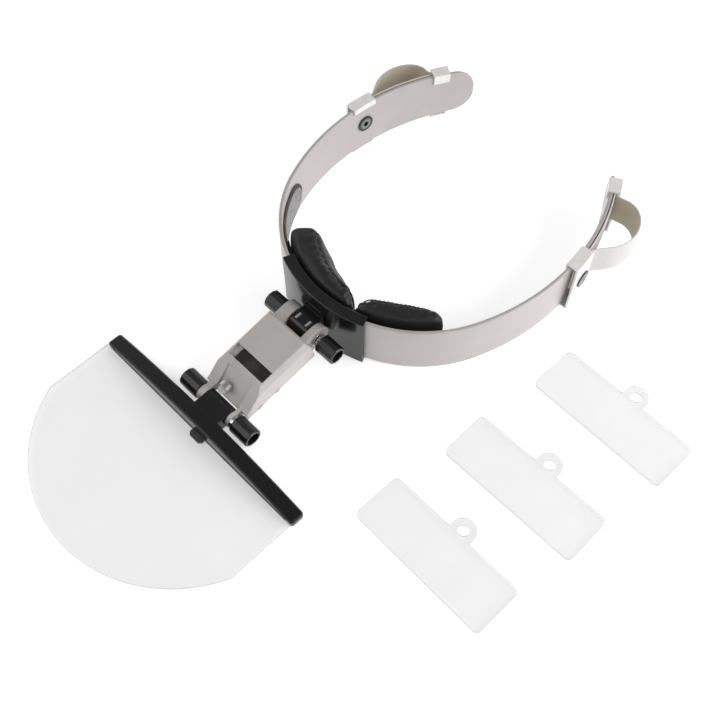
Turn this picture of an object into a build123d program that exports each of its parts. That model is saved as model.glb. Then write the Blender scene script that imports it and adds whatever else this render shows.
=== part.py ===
from build123d import *
import math
import os

os.makedirs("parts", exist_ok=True)

# Head visor magnifier, millimetres. +Z up, -Y is where the wearer looks, +X is the wearer's left.
# The origin is under the middle of the headband's front, on the plane the headband stands on.

# ---- driving sizes: headband -------------------------------------------------
BAND_T = 2.4            # wall of the headband
BAND_Z0 = 1.5           # lower edge of the headband
BAND_Z1 = 40.5          # upper edge of the headband
HALF_W = 94.5           # half of the headband's outside width
FRONT_R = 89.0          # outside radius across the forehead
SIDE_R = 158.0          # outside radius along each temple
TIP_S = 270.0           # distance along the outside from the front middle to each tip
RISE_Y = 120.0          # where the lower edge starts to lift
TIP_RISE = 4.5          # lower edge lifts by this much towards each tip
TIP_R_TOP = 15.0
TIP_R_LOW = 17.0
BAND_EDGE = 0.8         # rounding of the band's long edges

# ---- driving sizes: front clip and band hinge --------------------------------
CLIP_S = 35.0           # half length of the front clip along the band
CLIP_T = 2.6            # outer wall of the clip
CLIP_LIP = 2.4          # inner lips that hook behind the band
CLIP_LIP_H = 5.0
HINGE_Y = -12.2
HINGE_Z = 20.3
BOSS_R = 7.4
BOSS_HALF = 7.6
INSERT_X = 4.4          # two small metal keys let into the top of the boss
INSERT_W = 1.5
INSERT_L = 4.8

# ---- driving sizes: lamp housing ---------------------------------------------
VISOR_Y = -82.0         # visor hinge axis
VISOR_Z = 7.0
BODY_HALF = 18.2        # half width over the side walls
LEAN = 2.6              # the flat top and the floor are this much narrower each side
V_TOP = 15.3            # top above the line through both hinges
V_EDGE = 11.2           # where the side walls start to lean in
V_SEAM = -2.5           # seam between housing and battery cover
V_BOT = -6.0
S_REAR = 8.4            # rear wall from the band hinge
S_STEP = 47.8           # where the top falls away to the nose
V_NOSE = 4.4
LATCH_W = 2.8           # snap latches of the battery cover
LATCH_S = (40.0, 54.5)
WALL = 1.8
COVER_T = 1.4           # floor of the battery cover
ROOF_T = 1.3            # roof left under the slider's recess
EAR_R = 9.0             # ears of the band hinge
EAR_OUT_R = 15.9        # outer faces of the two ears, wearer's right and left
EAR_OUT_L = 12.6
FORK_R = 5.6            # ears of the visor hinge
FORK_IN = 10.8
FORK_OUT_R = 15.4
FORK_OUT_L = 13.3

# ---- driving sizes: switch, lamp, power --------------------------------------
REC_S0 = 36.8
REC_W = 8.4
REC_HALF = 15.1
REC_DEPTH = 2.2
SLIDER_L = 24.8
STEM_W = 4.0            # stem of the slider that works the switch
STEM_D = 2.8
STEM_X = 2.4
LED_X = -4.0
LED_V = 6.0
LED_R = 2.5
LED_BODY = 6.2
RING_T = 1.4
RING_L = 3.4
CELL_R = 5.25
CELL_L = 44.0

# ---- driving sizes: knobs and bolts ------------------------------------------
KNOB_R = 6.3
KNOB_FACETS = 12
KNOB_WALL = 1.8
KNOB_CUP_D = 5.0
BAND_KNOB_L = 13.4
VISOR_KNOB_L = 14.7
BOLT_R = 2.0
BOLT_HEAD_R = 3.6
SPRING_GAP = 4.2        # room for the spring under the band hinge's left-hand knob
WASHER_GAP = 2.5        # room for the washers under the visor hinge's left-hand knob
WIRE_R = 0.35

# ---- driving sizes: visor ----------------------------------------------------
BAR_HALF = 85.0
BAR_BACK = 9.8          # from the visor hinge axis to the bar's rear face
BAR_D = 10.0            # bar from front to back
BAR_END_H = 4.4
BAR_MID_H = 13.0
BAR_PLAN_R = 1.9
PLATE_T = 1.9           # lower clamping plate
SLOT_D = 5.8            # how far the lens goes into the bar
SLOT_END = 4.7          # solid bar left at each end of the slot
LENS_T = 2.0
LENS_EDGE = 0.3         # polished bevel round each lens
LENS_REACH = 100.2      # from the bar's front face to the lens's furthest point
LENS_R = 92.0           # radius of its curved edge
SCREW_R = 0.95
SCREW_HEAD_R = 1.7
SCREW_IN = 15.0         # outer screws from the bar's ends
SCREW_MID = 26.0
CATCH_X = 3.0
CATCH_W = 11.0
SPARE_L = 96.7
SPARE_W = 35.0
SPARE_R = 4.0
TAB_R = 8.0
TAB_HOLE_R = 3.4
TAB_OUT = 3.5
TAB_X = 2.0
SPARES = [(153.0, -54.4, -0.9), (161.3, 12.3, 0.3), (168.8, 85.2, -0.7)]

# ---- driving sizes: soft parts and straps ------------------------------------
PINCH_S = 22.0          # the two puffs meet this far round to +X
HOOK_T = 0.8
HOOK_MID = 2.5
HOOK_HALF = 114.5
HOOK_EDGE = 2.4
WEB_T = 1.2
WEB_IN = 3.0            # the backing panel ends this far inside the puffs
PAD_LEN = {"right": 80.0, "left": 62.5}
PAD_T = {"right": 21.0, "left": 16.0}
PAD_Z0 = 3.0
PAD_Z1 = 45.0
SLEEVE_S0 = {"right": 173.0, "left": 177.5}
SLEEVE_L = 18.5
SLEEVE_T = 1.4
SLEEVE_LIP = 1.2
TOP_LIP = 2.6           # sleeves hook over the band's upper edge by this much
CLIP_TOP_LIP = 6.0      # and the tip clips by this much
RIVET_IN = 10.5         # rivet from the sleeve's front edge
RIVET_UP = 5.5          # rivet above the strap's lower edge
RIVET_R = 6.0
RIVET_SHANK_R = 2.5
STRAP_T = 1.4
STRAP_W = 23.0
STRAP_DOWN = 0.0        # strap's upper edge below the band's
TIP_CLIP_S0 = {"right": 239.0, "left": 246.5}
TIP_CLIP_L = 12.0
LOOP_OUT = {"right": 14.5, "left": 19.5}     # how far each strap loop stands off the band

# ---- clearances --------------------------------------------------------------
SEAT = 0.2              # between the band and everything that clips on it
GLUE = 0.12             # film between the layers of the fastener
RUN = 0.05              # radial running clearance on both hinge bolts
SIDE_PLAY = 0.6         # each side of the clip's boss
BAR_PLAY = 0.4          # each side of the bar's lug
SLIDER_GAP = 0.25
CELL_GAP = 0.35
SLOT_PLAY = 0.05        # above and below the lens in its slot
LAY = 0.05              # between parts that screw or snap together
KNOB_GAP = 0.35         # between a knob and the ear beside it
STRAP_GAP = 0.4         # between strap and band
HEAD_H = 1.5            # clip and sleeves stand this much past the band's edges
NOSE_GAP = 0.6          # between the visor knobs and the housing

# ---- derived -----------------------------------------------------------------
SIDE_CX = SIDE_R - HALF_W
SIDE_CY = FRONT_R + math.sqrt((SIDE_R - FRONT_R) ** 2 - SIDE_CX ** 2)
JOIN_A = math.atan2(FRONT_R - SIDE_CY, SIDE_CX)
JOIN_S = FRONT_R * (math.pi / 2 + JOIN_A)
BAND_MID = (BAND_Z0 + BAND_Z1) / 2
TOP_Z = BAND_Z1 + HEAD_H
ARM_L = math.hypot(VISOR_Y - HINGE_Y, VISOR_Z - HINGE_Z)
TILT = math.atan2(HINGE_Z - VISOR_Z, HINGE_Y - VISOR_Y)
FWD = Vector(0, -math.cos(TILT), -math.sin(TILT))
UP = Vector(0, -math.sin(TILT), math.cos(TILT))
TOP_HALF = BODY_HALF - LEAN
BOT_HALF = BODY_HALF - LEAN - 0.2
S_FRONT = ARM_L - max(KNOB_R, FORK_R) - NOSE_GAP
S_NOSE = S_FRONT - 2.8
EAR_IN = BOSS_HALF + SIDE_PLAY
REC_S1 = REC_S0 + REC_W
REC_MID = REC_S0 + REC_W / 2
CELL_X = CELL_R + CELL_GAP
CELL_V = V_BOT + COVER_T + CELL_GAP + CELL_R
CELL_S0 = S_REAR + WALL + 0.8
CELL_S1 = CELL_S0 + CELL_L
BOARD_S = CELL_S1 + 1.0
BOARD_T = 1.0
BOARD_TOP = LED_V - LED_R + 0.5
LED_S0 = BOARD_S + BOARD_T + 0.2
LED_S1 = LED_S0 + LED_BODY
RING_R = LED_R + RING_T
RING_S1 = LED_S1 - 1.6
RING_S0 = RING_S1 - RING_L
CAVITY_HALF = BODY_HALF - WALL - 0.4
CAVITY_TOP = V_TOP - REC_DEPTH - ROOF_T
BAR_Y1 = VISOR_Y - BAR_BACK
BAR_Y0 = BAR_Y1 - BAR_D
SLOT_Y = BAR_Y0 + SLOT_D
SLOT_HALF = BAR_HALF - SLOT_END
SLOT_Z0 = PLATE_T + LAY
SLOT_H = LENS_T + 2 * SLOT_PLAY
LENS_HALF = BAR_HALF - 0.4
LENS_Y = BAR_Y0 - LENS_REACH
HOOK_IN = BAND_T + GLUE
HOOK_Z0 = BAND_Z0 + CLIP_LIP_H + 0.5
HOOK_Z1 = BAND_Z1 - CLIP_LIP_H - 0.5
FACE_IN = HOOK_IN + HOOK_T + GLUE
WEB_INSET = FACE_IN + HOOK_T + GLUE
PAD_BACK = WEB_INSET + WEB_T + 0.42
RIVET_S = {side: s + RIVET_IN for side, s in SLEEVE_S0.items()}
LAYER = STRAP_GAP + 2 * STRAP_T + 0.3
STRAP_Z1 = BAND_Z1 - STRAP_DOWN
STRAP_Z0 = STRAP_Z1 - STRAP_W
RIVET_Z = STRAP_Z0 + RIVET_UP
SIDES = [("right", -1), ("left", 1)]


def rail(s, inset):
    """Point at distance s round the band's outside (plus is +X), inset mm towards the head."""
    sign = 1 if s >= 0 else -1
    if abs(s) <= JOIN_S:
        a = s / FRONT_R
        r = FRONT_R - inset
        return (r * math.sin(a), FRONT_R - r * math.cos(a))
    a = JOIN_A + (abs(s) - JOIN_S) / SIDE_R
    r = SIDE_R - inset
    return (sign * (r * math.cos(a) - SIDE_CX), SIDE_CY + r * math.sin(a))


def outward(s):
    """Unit normal of the band's outside at distance s."""
    p = rail(s, 0.0)
    q = rail(s, 1.0)
    return Vector(p[0] - q[0], p[1] - q[1], 0)


def rail_stops(s0, s1):
    """The two ends and any change of radius between them."""
    inner = [s for s in (-JOIN_S, JOIN_S) if s0 < s < s1]
    return [s0] + inner + [s1]


def rail_strip(s0, s1, inset0, inset1):
    """Plan view of a strip that follows the band between two insets."""
    stops = rail_stops(s0, s1)
    with BuildSketch() as sk:
        with BuildLine():
            for a, b in zip(stops[:-1], stops[1:]):
                ThreePointArc(rail(a, inset0), rail((a + b) / 2, inset0), rail(b, inset0))
                ThreePointArc(rail(a, inset1), rail((a + b) / 2, inset1), rail(b, inset1))
            Line(rail(s0, inset0), rail(s0, inset1))
            Line(rail(s1, inset0), rail(s1, inset1))
        make_face()
    return sk.sketch


def rail_plane(s, inset, z):
    """Plane on the band with its normal pointing away from the head."""
    p = rail(s, inset)
    n = outward(s)
    return Plane(origin=(p[0], p[1], z), x_dir=(n.Y, -n.X, 0), z_dir=n)


def rail_cross(s, z):
    """Plane across the band: local x points to the head, local y is up."""
    p = rail(s, 0.0)
    n = outward(s)
    return Plane(origin=(p[0], p[1], z), x_dir=-n, z_dir=(-n.Y, n.X, 0))


def arm_point(s, x, v):
    return Vector(x, HINGE_Y, HINGE_Z) + FWD * s + UP * v


def arm_cross(s):
    """Plane across the lamp arm at distance s from the band hinge: local x is +X, local y is up."""
    return Plane(origin=arm_point(s, 0, 0), x_dir=(1, 0, 0), z_dir=FWD)


def arm_side(x):
    """Plane along the lamp arm: local x runs back to the band, local y is up."""
    return Plane(origin=(x, HINGE_Y, HINGE_Z), x_dir=-FWD, z_dir=(1, 0, 0))


def arm_floor(v):
    """Plane parallel to the lamp's top: local x is +X, local y runs back to the band."""
    return Plane(origin=arm_point(0, 0, v), x_dir=(1, 0, 0), z_dir=UP)


def save(piece, name):
    piece.part.label = name
    export_step(piece.part, f"parts/{name}.step")


# ---- headband ----------------------------------------------------------------
band_plan = rail_strip(-TIP_S, TIP_S, 0, BAND_T)
with BuildPart() as headband:
    with BuildSketch(Plane.XY.offset(BAND_Z0)):
        add(band_plan)
    extrude(amount=BAND_Z1 - BAND_Z0)
    with BuildSketch(Plane.YZ):
        with BuildLine():
            tip_y = rail(TIP_S, 0)[1] + 4
            TangentArc((RISE_Y, BAND_Z0), (tip_y, BAND_Z0 + TIP_RISE), tangent=(1, 0))
            Polyline((tip_y, BAND_Z0 + TIP_RISE), (tip_y, BAND_Z0 - 5), (RISE_Y, BAND_Z0 - 5), (RISE_Y, BAND_Z0))
        make_face()
    extrude(amount=HALF_W + 10, both=True, mode=Mode.SUBTRACT)
    for side, sign in SIDES:
        with BuildSketch(rail_plane(sign * RIVET_S[side], BAND_T + 1, RIVET_Z)):
            Circle(RIVET_SHANK_R + SEAT)
        extrude(amount=BAND_T + 2, mode=Mode.SUBTRACT)
    short = [e for e in headband.edges() if abs(e.length - BAND_T) < 0.02 and e.center().Y > 190]
    fillet([e for e in short if e.center().Z > BAND_MID], TIP_R_TOP)
    short = [e for e in headband.edges() if abs(e.length - BAND_T) < 0.02 and e.center().Y > 190]
    fillet([e for e in short if e.center().Z < BAND_Z0 + TIP_RISE + 1], TIP_R_LOW)
    rims = []
    for e in headband.edges():
        at_tip = e.center().Y > rail(TIP_S, 0)[1] - 3
        at_hole = abs(e.length - 2 * math.pi * (RIVET_SHANK_R + SEAT)) < 1.5
        if e.length > BAND_T + 0.1 and not at_hole and (at_tip or e.geom_type != GeomType.LINE):
            rims.append(e)
    fillet(rims, BAND_EDGE)
save(headband, "headband")

# ---- front clip with the hinge boss --------------------------------------------
clip_plan = rail_strip(-CLIP_S, CLIP_S, -SEAT - CLIP_T, BAND_T + SEAT + CLIP_LIP)
clip_groove = rail_strip(-CLIP_S - 2, CLIP_S + 2, -SEAT, BAND_T + SEAT)
clip_window = rail_strip(-CLIP_S - 2, CLIP_S + 2, BAND_T, BAND_T + CLIP_LIP + 2)
with BuildPart() as front_clip:
    with BuildSketch(Plane.XY):
        add(clip_plan)
    extrude(amount=TOP_Z)
    rim = front_clip.faces().sort_by(Axis.Z)[-1].edges()
    fillet(rim.filter_by(lambda e: e.length > 20), 0.9)
    with BuildSketch(Plane.XY.offset(BAND_Z0 - SEAT)):
        add(clip_groove)
    extrude(amount=BAND_Z1 - BAND_Z0 + 2 * SEAT, mode=Mode.SUBTRACT)
    with BuildSketch(Plane.XY.offset(BAND_Z0 + CLIP_LIP_H)):
        add(clip_window)
    extrude(amount=BAND_Z1 - BAND_Z0 - 2 * CLIP_LIP_H, mode=Mode.SUBTRACT)
    with BuildSketch(Plane.XZ.offset(SEAT)):
        with Locations((0, HINGE_Z)):
            RectangleRounded(2 * BOSS_HALF, 3.2 * BOSS_R, 2)
    extrude(amount=CLIP_T + 0.6)
    with BuildSketch(Plane.YZ.offset(-BOSS_HALF)):
        with Locations((HINGE_Y, HINGE_Z)):
            Circle(BOSS_R)
        with Locations((HINGE_Y / 2 - 0.8, HINGE_Z)):
            Rectangle(-HINGE_Y - 1.6, 2 * BOSS_R)
    extrude(amount=2 * BOSS_HALF)
    with BuildSketch(Plane.YZ.offset(-BOSS_HALF - 1)):
        with Locations((HINGE_Y, HINGE_Z)):
            Circle(BOLT_R + RUN)
    extrude(amount=2 * BOSS_HALF + 2, mode=Mode.SUBTRACT)
    for x in (-INSERT_X, INSERT_X):
        with BuildSketch(Plane.XZ.offset(-HINGE_Y - INSERT_L / 2)):
            with Locations((x, HINGE_Z + BOSS_R)):
                Rectangle(INSERT_W + 2 * LAY, 2.4)
        extrude(amount=INSERT_L, mode=Mode.SUBTRACT)
save(front_clip, "front_clip")

with BuildPart() as boss_inserts:
    for x in (-INSERT_X, INSERT_X):
        with BuildSketch(Plane.XZ.offset(-HINGE_Y - INSERT_L / 2 + LAY)):
            with Locations((x, HINGE_Z + BOSS_R - 0.4)):
                Rectangle(INSERT_W, 1.5)
        extrude(amount=INSERT_L - 2 * LAY)
save(boss_inserts, "boss_inserts")

# ---- hook and loop fastener --------------------------------------------------
hook_s0 = HOOK_MID - HOOK_HALF
hook_s1 = HOOK_MID + HOOK_HALF


def oval_strip(s0, s1, inset0, inset1, z0, z1):
    """Strip along the band whose ends are rounded off as seen from the head."""
    r = (z1 - z0) / 2
    plan = rail_strip(s0, s1, inset0, inset1)
    with BuildPart() as strip:
        with BuildSketch(Plane.XY.offset(z0)):
            add(plan)
        extrude(amount=z1 - z0)
        for s, sign in ((s0 + r, -1), (s1 - r, 1)):
            with BuildSketch(rail_plane(s, -2, z0 + r)):
                with Locations((-sign * r, 0)):
                    Rectangle(2 * r, 2 * r + 2)
                Circle(r, mode=Mode.SUBTRACT)
            extrude(amount=-20, mode=Mode.SUBTRACT)
    return strip.part


hook_back_solid = oval_strip(hook_s0, hook_s1, HOOK_IN, HOOK_IN + HOOK_T, HOOK_Z0, HOOK_Z1)
with BuildPart() as hook_backing:
    add(hook_back_solid)
save(hook_backing, "hook_backing")

hook_face_solid = oval_strip(hook_s0 + HOOK_EDGE, hook_s1 - HOOK_EDGE, FACE_IN, FACE_IN + HOOK_T,
                             HOOK_Z0 + HOOK_EDGE, HOOK_Z1 - HOOK_EDGE)
with BuildPart() as hook_face:
    add(hook_face_solid)
save(hook_face, "hook_face")

# ---- forehead pad: a backing panel and two puffs ---------------------------------
web_plan = rail_strip(PINCH_S - PAD_LEN["right"] + WEB_IN, PINCH_S + PAD_LEN["left"] - WEB_IN,
                      WEB_INSET, WEB_INSET + WEB_T)
with BuildPart() as pad_web:
    with BuildSketch(Plane.XY.offset(HOOK_Z0)):
        add(web_plan)
    extrude(amount=HOOK_Z1 - HOOK_Z0)
save(pad_web, "pad_web")

# each puff from the pinch to its outer end: share of the length, of the thickness and of the height
PUFF = {"right": [(0.008, 0.36, 0.74), (0.11, 0.62, 0.92), (0.35, 0.81, 1.0), (0.62, 0.98, 1.0),
                  (0.85, 1.0, 0.98), (0.992, 0.57, 0.80)],
        "left": [(0.010, 0.47, 0.74), (0.13, 0.81, 0.92), (0.35, 0.97, 1.0), (0.61, 1.0, 1.0),
                 (0.83, 0.84, 0.97), (0.992, 0.38, 0.80)]}


def puff_sections(side, sign):
    """Rounded sections across the band, from the pinch to the outer end."""
    faces = []
    for along, thick, tall in PUFF[side]:
        t = PAD_T[side] * thick
        h = (PAD_Z1 - PAD_Z0) * tall
        plane = rail_cross(PINCH_S + sign * PAD_LEN[side] * along, (PAD_Z0 + PAD_Z1) / 2)
        with BuildSketch(plane) as section:
            with Locations((PAD_BACK + t / 2, 0)):
                RectangleRounded(t, h, min(t, h) * 0.42)
        faces.append(section.sketch.faces()[0])
    return faces


for side, sign in SIDES:
    faces = puff_sections(side, sign)
    with BuildPart() as pad:
        loft(faces)
    save(pad, f"pad_{side}")

# ---- lamp housing ------------------------------------------------------------
HULL = [(-TOP_HALF, V_TOP), (TOP_HALF, V_TOP), (BODY_HALF, V_EDGE), (BODY_HALF, V_SEAM),
        (BOT_HALF, V_BOT), (-BOT_HALF, V_BOT), (-BODY_HALF, V_SEAM), (-BODY_HALF, V_EDGE)]
with BuildPart() as shape:
    with BuildSketch(arm_cross(S_REAR)):
        with BuildLine():
            Polyline(*HULL, close=True)
        make_face()
    extrude(amount=S_FRONT - S_REAR)
    above_seam = [e for e in shape.edges() if (e.center() - arm_point(0, 0, 0)).dot(UP) > V_SEAM + 1]
    fillet([e for e in above_seam if e.length > 0.9 * (S_FRONT - S_REAR)], 1.6)
    with BuildSketch(arm_side(-BODY_HALF - 1)):
        with BuildLine():
            Polyline((-S_STEP, V_TOP + 3), (-S_STEP, V_TOP - 0.4), (-S_NOSE, V_NOSE), (-S_FRONT - 1, V_NOSE - 1.2),
                     (-S_FRONT - 1, V_TOP + 3), close=True)
        make_face()
    extrude(amount=2 * BODY_HALF + 2, mode=Mode.SUBTRACT)
    with BuildSketch(arm_side(-BODY_HALF - 1)):
        with BuildLine():
            Polyline((-S_REAR + 1, V_TOP + 1), (-S_REAR - 2.2, V_TOP + 1), (-S_REAR - 2.2, V_TOP - 0.3),
                     (-S_REAR, V_TOP - 5.5), (-S_REAR + 1, V_TOP - 5.5), close=True)
        make_face()
    extrude(amount=2 * BODY_HALF + 2, mode=Mode.SUBTRACT)
outer_solid = shape.part

HOLLOWS = [(S_REAR + WALL, S_STEP + 0.2, CAVITY_TOP),
           (S_STEP, CELL_S1 + 0.8, CELL_V + CELL_R + 0.2),
           (CELL_S1 + 0.7, BOARD_S + BOARD_T + 0.1, BOARD_TOP + 0.2)]
with BuildPart() as housing:
    add(outer_solid)
    # scoop in the nose between the two cheeks
    with BuildSketch(arm_side(-FORK_IN + 0.3)):
        with BuildLine():
            Polyline((-S_STEP - 1.6, V_TOP + 1), (-S_STEP - 1.6, V_TOP - 2.4), (-S_NOSE + 1.2, V_NOSE - 1.6),
                     (-S_FRONT - 1, V_NOSE - 2.8), (-S_FRONT - 1, V_TOP + 1), close=True)
        make_face()
    extrude(amount=2 * FORK_IN - 0.6, mode=Mode.SUBTRACT)
    with BuildSketch(arm_floor(V_SEAM)):
        with Locations((0, -S_FRONT / 2)):
            Rectangle(2 * BODY_HALF + 4, 2 * S_FRONT)
    extrude(amount=-20, mode=Mode.SUBTRACT)
    # ears of the band hinge
    for x0, x1 in ((-EAR_OUT_R, -EAR_IN), (EAR_IN, EAR_OUT_L)):
        with BuildSketch(arm_side(x0)):
            Circle(EAR_R)
            with Locations((-S_REAR / 2 - 0.5, (EAR_R + V_SEAM) / 2)):
                Rectangle(S_REAR + 1, EAR_R - V_SEAM)
        extrude(amount=x1 - x0)
    # ears of the visor hinge
    for x0, x1 in ((-FORK_OUT_R, -FORK_IN), (FORK_IN, FORK_OUT_L)):
        with BuildSketch(arm_side(x0)):
            with Locations((-ARM_L, 0)):
                Circle(FORK_R)
            with Locations(((-ARM_L - S_FRONT + 6) / 2, (FORK_R - 1.6 + V_SEAM) / 2)):
                Rectangle(ARM_L - S_FRONT + 6, FORK_R - 1.6 - V_SEAM)
        extrude(amount=x1 - x0)
    # stepped hollow for the switch, the cells and the lamp board
    for s0, s1, v1 in HOLLOWS:
        with BuildSketch(arm_floor(V_SEAM - 1)):
            with Locations((0, -(s0 + s1) / 2)):
                Rectangle(2 * CAVITY_HALF, s1 - s0)
        extrude(amount=v1 - V_SEAM + 1, mode=Mode.SUBTRACT)
    # roof recess and the slot for the slider's stem
    with BuildSketch(arm_floor(V_TOP - REC_DEPTH)):
        with Locations((0, -REC_MID)):
            Rectangle(2 * REC_HALF, REC_W)
    extrude(amount=REC_DEPTH + 2, mode=Mode.SUBTRACT)
    with BuildSketch(arm_floor(CAVITY_TOP - 1)):
        with Locations((0, -REC_MID)):
            Rectangle(STEM_W + 2 * STEM_X + 0.8, STEM_D + 0.6)
    extrude(amount=ROOF_T + 2, mode=Mode.SUBTRACT)
    # bolt holes
    for s in (0, ARM_L):
        with BuildSketch(arm_side(-BODY_HALF - 2)):
            with Locations((-s, 0)):
                Circle(BOLT_R + RUN)
        extrude(amount=2 * BODY_HALF + 4, mode=Mode.SUBTRACT)
    # lamp hole
    with BuildSketch(arm_cross(LED_S0 - 0.1)):
        with Locations((LED_X, LED_V)):
            Circle(LED_R + 0.1)
    extrude(amount=14, mode=Mode.SUBTRACT)
    with BuildSketch(arm_cross(RING_S0 - LAY)):
        with Locations((LED_X, LED_V)):
            Circle(RING_R + LAY)
    extrude(amount=8, mode=Mode.SUBTRACT)
    # latch notches along the seam
    for s in LATCH_S:
        for x0 in (-BODY_HALF - 1, BODY_HALF - WALL - 1):
            with BuildSketch(arm_side(x0)):
                with Locations((-s, V_SEAM)):
                    Rectangle(LATCH_W + 0.6, 4.6)
            extrude(amount=WALL + 2, mode=Mode.SUBTRACT)
save(housing, "housing")

# ---- battery cover, snapped on from below --------------------------------------
with BuildPart() as battery_cover:
    add(outer_solid)
    with BuildSketch(arm_floor(V_SEAM - LAY)):
        with Locations((0, -S_FRONT / 2)):
            Rectangle(2 * BODY_HALF + 4, 2 * S_FRONT)
    extrude(amount=30, mode=Mode.SUBTRACT)
    with BuildSketch(arm_floor(V_BOT + COVER_T)):
        with Locations((0, -(S_REAR + S_FRONT) / 2)):
            Rectangle(2 * (BOT_HALF - WALL), S_FRONT - S_REAR - 2 * WALL)
    extrude(amount=10, mode=Mode.SUBTRACT)
    with BuildSketch(arm_side(-BODY_HALF - 1)):
        Circle(EAR_R + 0.2)
    extrude(amount=2 * BODY_HALF + 2, mode=Mode.SUBTRACT)
    for s in LATCH_S:
        for x0 in (-BODY_HALF + 0.3, BODY_HALF - WALL):
            with BuildSketch(arm_side(x0)):
                with Locations((-s, V_SEAM - 0.2)):
                    Rectangle(LATCH_W, 3.0)
            extrude(amount=WALL - 0.3)
save(battery_cover, "battery_cover")

# ---- inside the housing --------------------------------------------------------
with BuildPart() as cells:
    for x in (-CELL_X, CELL_X):
        with BuildSketch(arm_cross(CELL_S0)):
            with Locations((x, CELL_V)):
                Circle(CELL_R)
        extrude(amount=CELL_L - 0.8)
        with BuildSketch(arm_cross(CELL_S1 - 0.8)):
            with Locations((x, CELL_V)):
                Circle(1.9)
        extrude(amount=0.8)
save(cells, "cells")

with BuildPart() as rear_contacts:
    for x in (-CELL_X, CELL_X):
        with BuildSketch(arm_cross(S_REAR + WALL + LAY)):
            with Locations((x, CELL_V)):
                RectangleRounded(7.6, 6.4, 1)
        extrude(amount=0.6)
save(rear_contacts, "rear_contacts")

with BuildPart() as front_contact:
    with BuildSketch(arm_cross(CELL_S1 + LAY)):
        with Locations((0, CELL_V)):
            RectangleRounded(2 * CELL_X + 6.8, 6.0, 1)
    extrude(amount=0.6)
save(front_contact, "front_contact")

with BuildPart() as lamp_board:
    with BuildSketch(arm_cross(BOARD_S)):
        with Locations((0, (V_SEAM - 0.8 + BOARD_TOP) / 2)):
            Rectangle(24.0, BOARD_TOP - V_SEAM + 0.8)
    extrude(amount=BOARD_T)
save(lamp_board, "lamp_board")

switch_v = CELL_V + CELL_R + CELL_GAP
stem_v = CAVITY_TOP - 1.1
with BuildPart() as switch_body:
    with BuildSketch(arm_floor(switch_v)):
        with Locations((0, -REC_MID)):
            Rectangle(14.4, 7.0)
    extrude(amount=stem_v - 0.15 - switch_v)
    with BuildSketch(arm_floor(switch_v)):
        with Locations((-6.4, -REC_MID), (6.4, -REC_MID)):
            Rectangle(1.6, 7.0)
    extrude(amount=CAVITY_TOP - LAY - switch_v)
save(switch_body, "switch_body")

with BuildPart() as switch_slider:
    with BuildSketch(arm_floor(V_TOP - REC_DEPTH + 0.1)):
        with Locations((REC_HALF - SLIDER_GAP - SLIDER_L / 2, -REC_MID)):
            Rectangle(SLIDER_L, REC_W - 2 * SLIDER_GAP)
    extrude(amount=REC_DEPTH - 0.3)
    top = switch_slider.faces().sort_by(Axis.Z)[-1]
    chamfer(top.edges(), 0.4)
    with BuildSketch(arm_floor(stem_v)):
        with Locations((STEM_X, -REC_MID)):
            Rectangle(STEM_W, STEM_D)
    extrude(amount=ROOF_T + 1.1 + 0.6)
save(switch_slider, "switch_slider")

# ---- lamp --------------------------------------------------------------------
with BuildPart() as led:
    with BuildSketch(arm_cross(LED_S0)):
        with Locations((LED_X, LED_V)):
            Circle(LED_R)
    extrude(amount=LED_S1 - LED_S0)
    with BuildSketch(arm_side(LED_X)):
        with Locations((-LED_S1, LED_V)):
            Circle(LED_R)
            with Locations((LED_R, 0)):
                Rectangle(2 * LED_R, 3 * LED_R, mode=Mode.SUBTRACT)
            with Locations((0, -LED_R)):
                Rectangle(3 * LED_R, 2 * LED_R, mode=Mode.SUBTRACT)
    revolve(axis=Axis(arm_point(LED_S1, LED_X, LED_V), FWD))
save(led, "led")

with BuildPart() as led_ring:
    with BuildSketch(arm_cross(RING_S0)):
        with Locations((LED_X, LED_V)):
            Circle(RING_R)
            Circle(LED_R + LAY, mode=Mode.SUBTRACT)
    extrude(amount=RING_L)
save(led_ring, "led_ring")

# ---- knobs, bolts and springs of the two hinges ----------------------------------


def facet_knob(origin, direction, length):
    """Faceted knob: starts at origin, its hollow end points along direction."""
    start = Plane(origin=origin, x_dir=FWD, z_dir=(direction, 0, 0))
    with BuildPart() as knob:
        with BuildSketch(start):
            RegularPolygon(KNOB_R, KNOB_FACETS)
        extrude(amount=length)
        rim_face = knob.faces().sort_by(Axis.X)[-1 if direction > 0 else 0]
        chamfer(rim_face.edges(), 0.5)
        with BuildSketch(start.offset(length - KNOB_CUP_D)):
            Circle(KNOB_R - KNOB_WALL)
        extrude(amount=KNOB_CUP_D + 1, mode=Mode.SUBTRACT)
    return knob.part


HINGES = [("band", Vector(0, HINGE_Y, HINGE_Z), EAR_OUT_R + KNOB_GAP, EAR_OUT_L + SPRING_GAP, BAND_KNOB_L),
          ("visor", Vector(0, VISOR_Y, VISOR_Z), FORK_OUT_R + KNOB_GAP, FORK_OUT_L + WASHER_GAP, VISOR_KNOB_L)]

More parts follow.
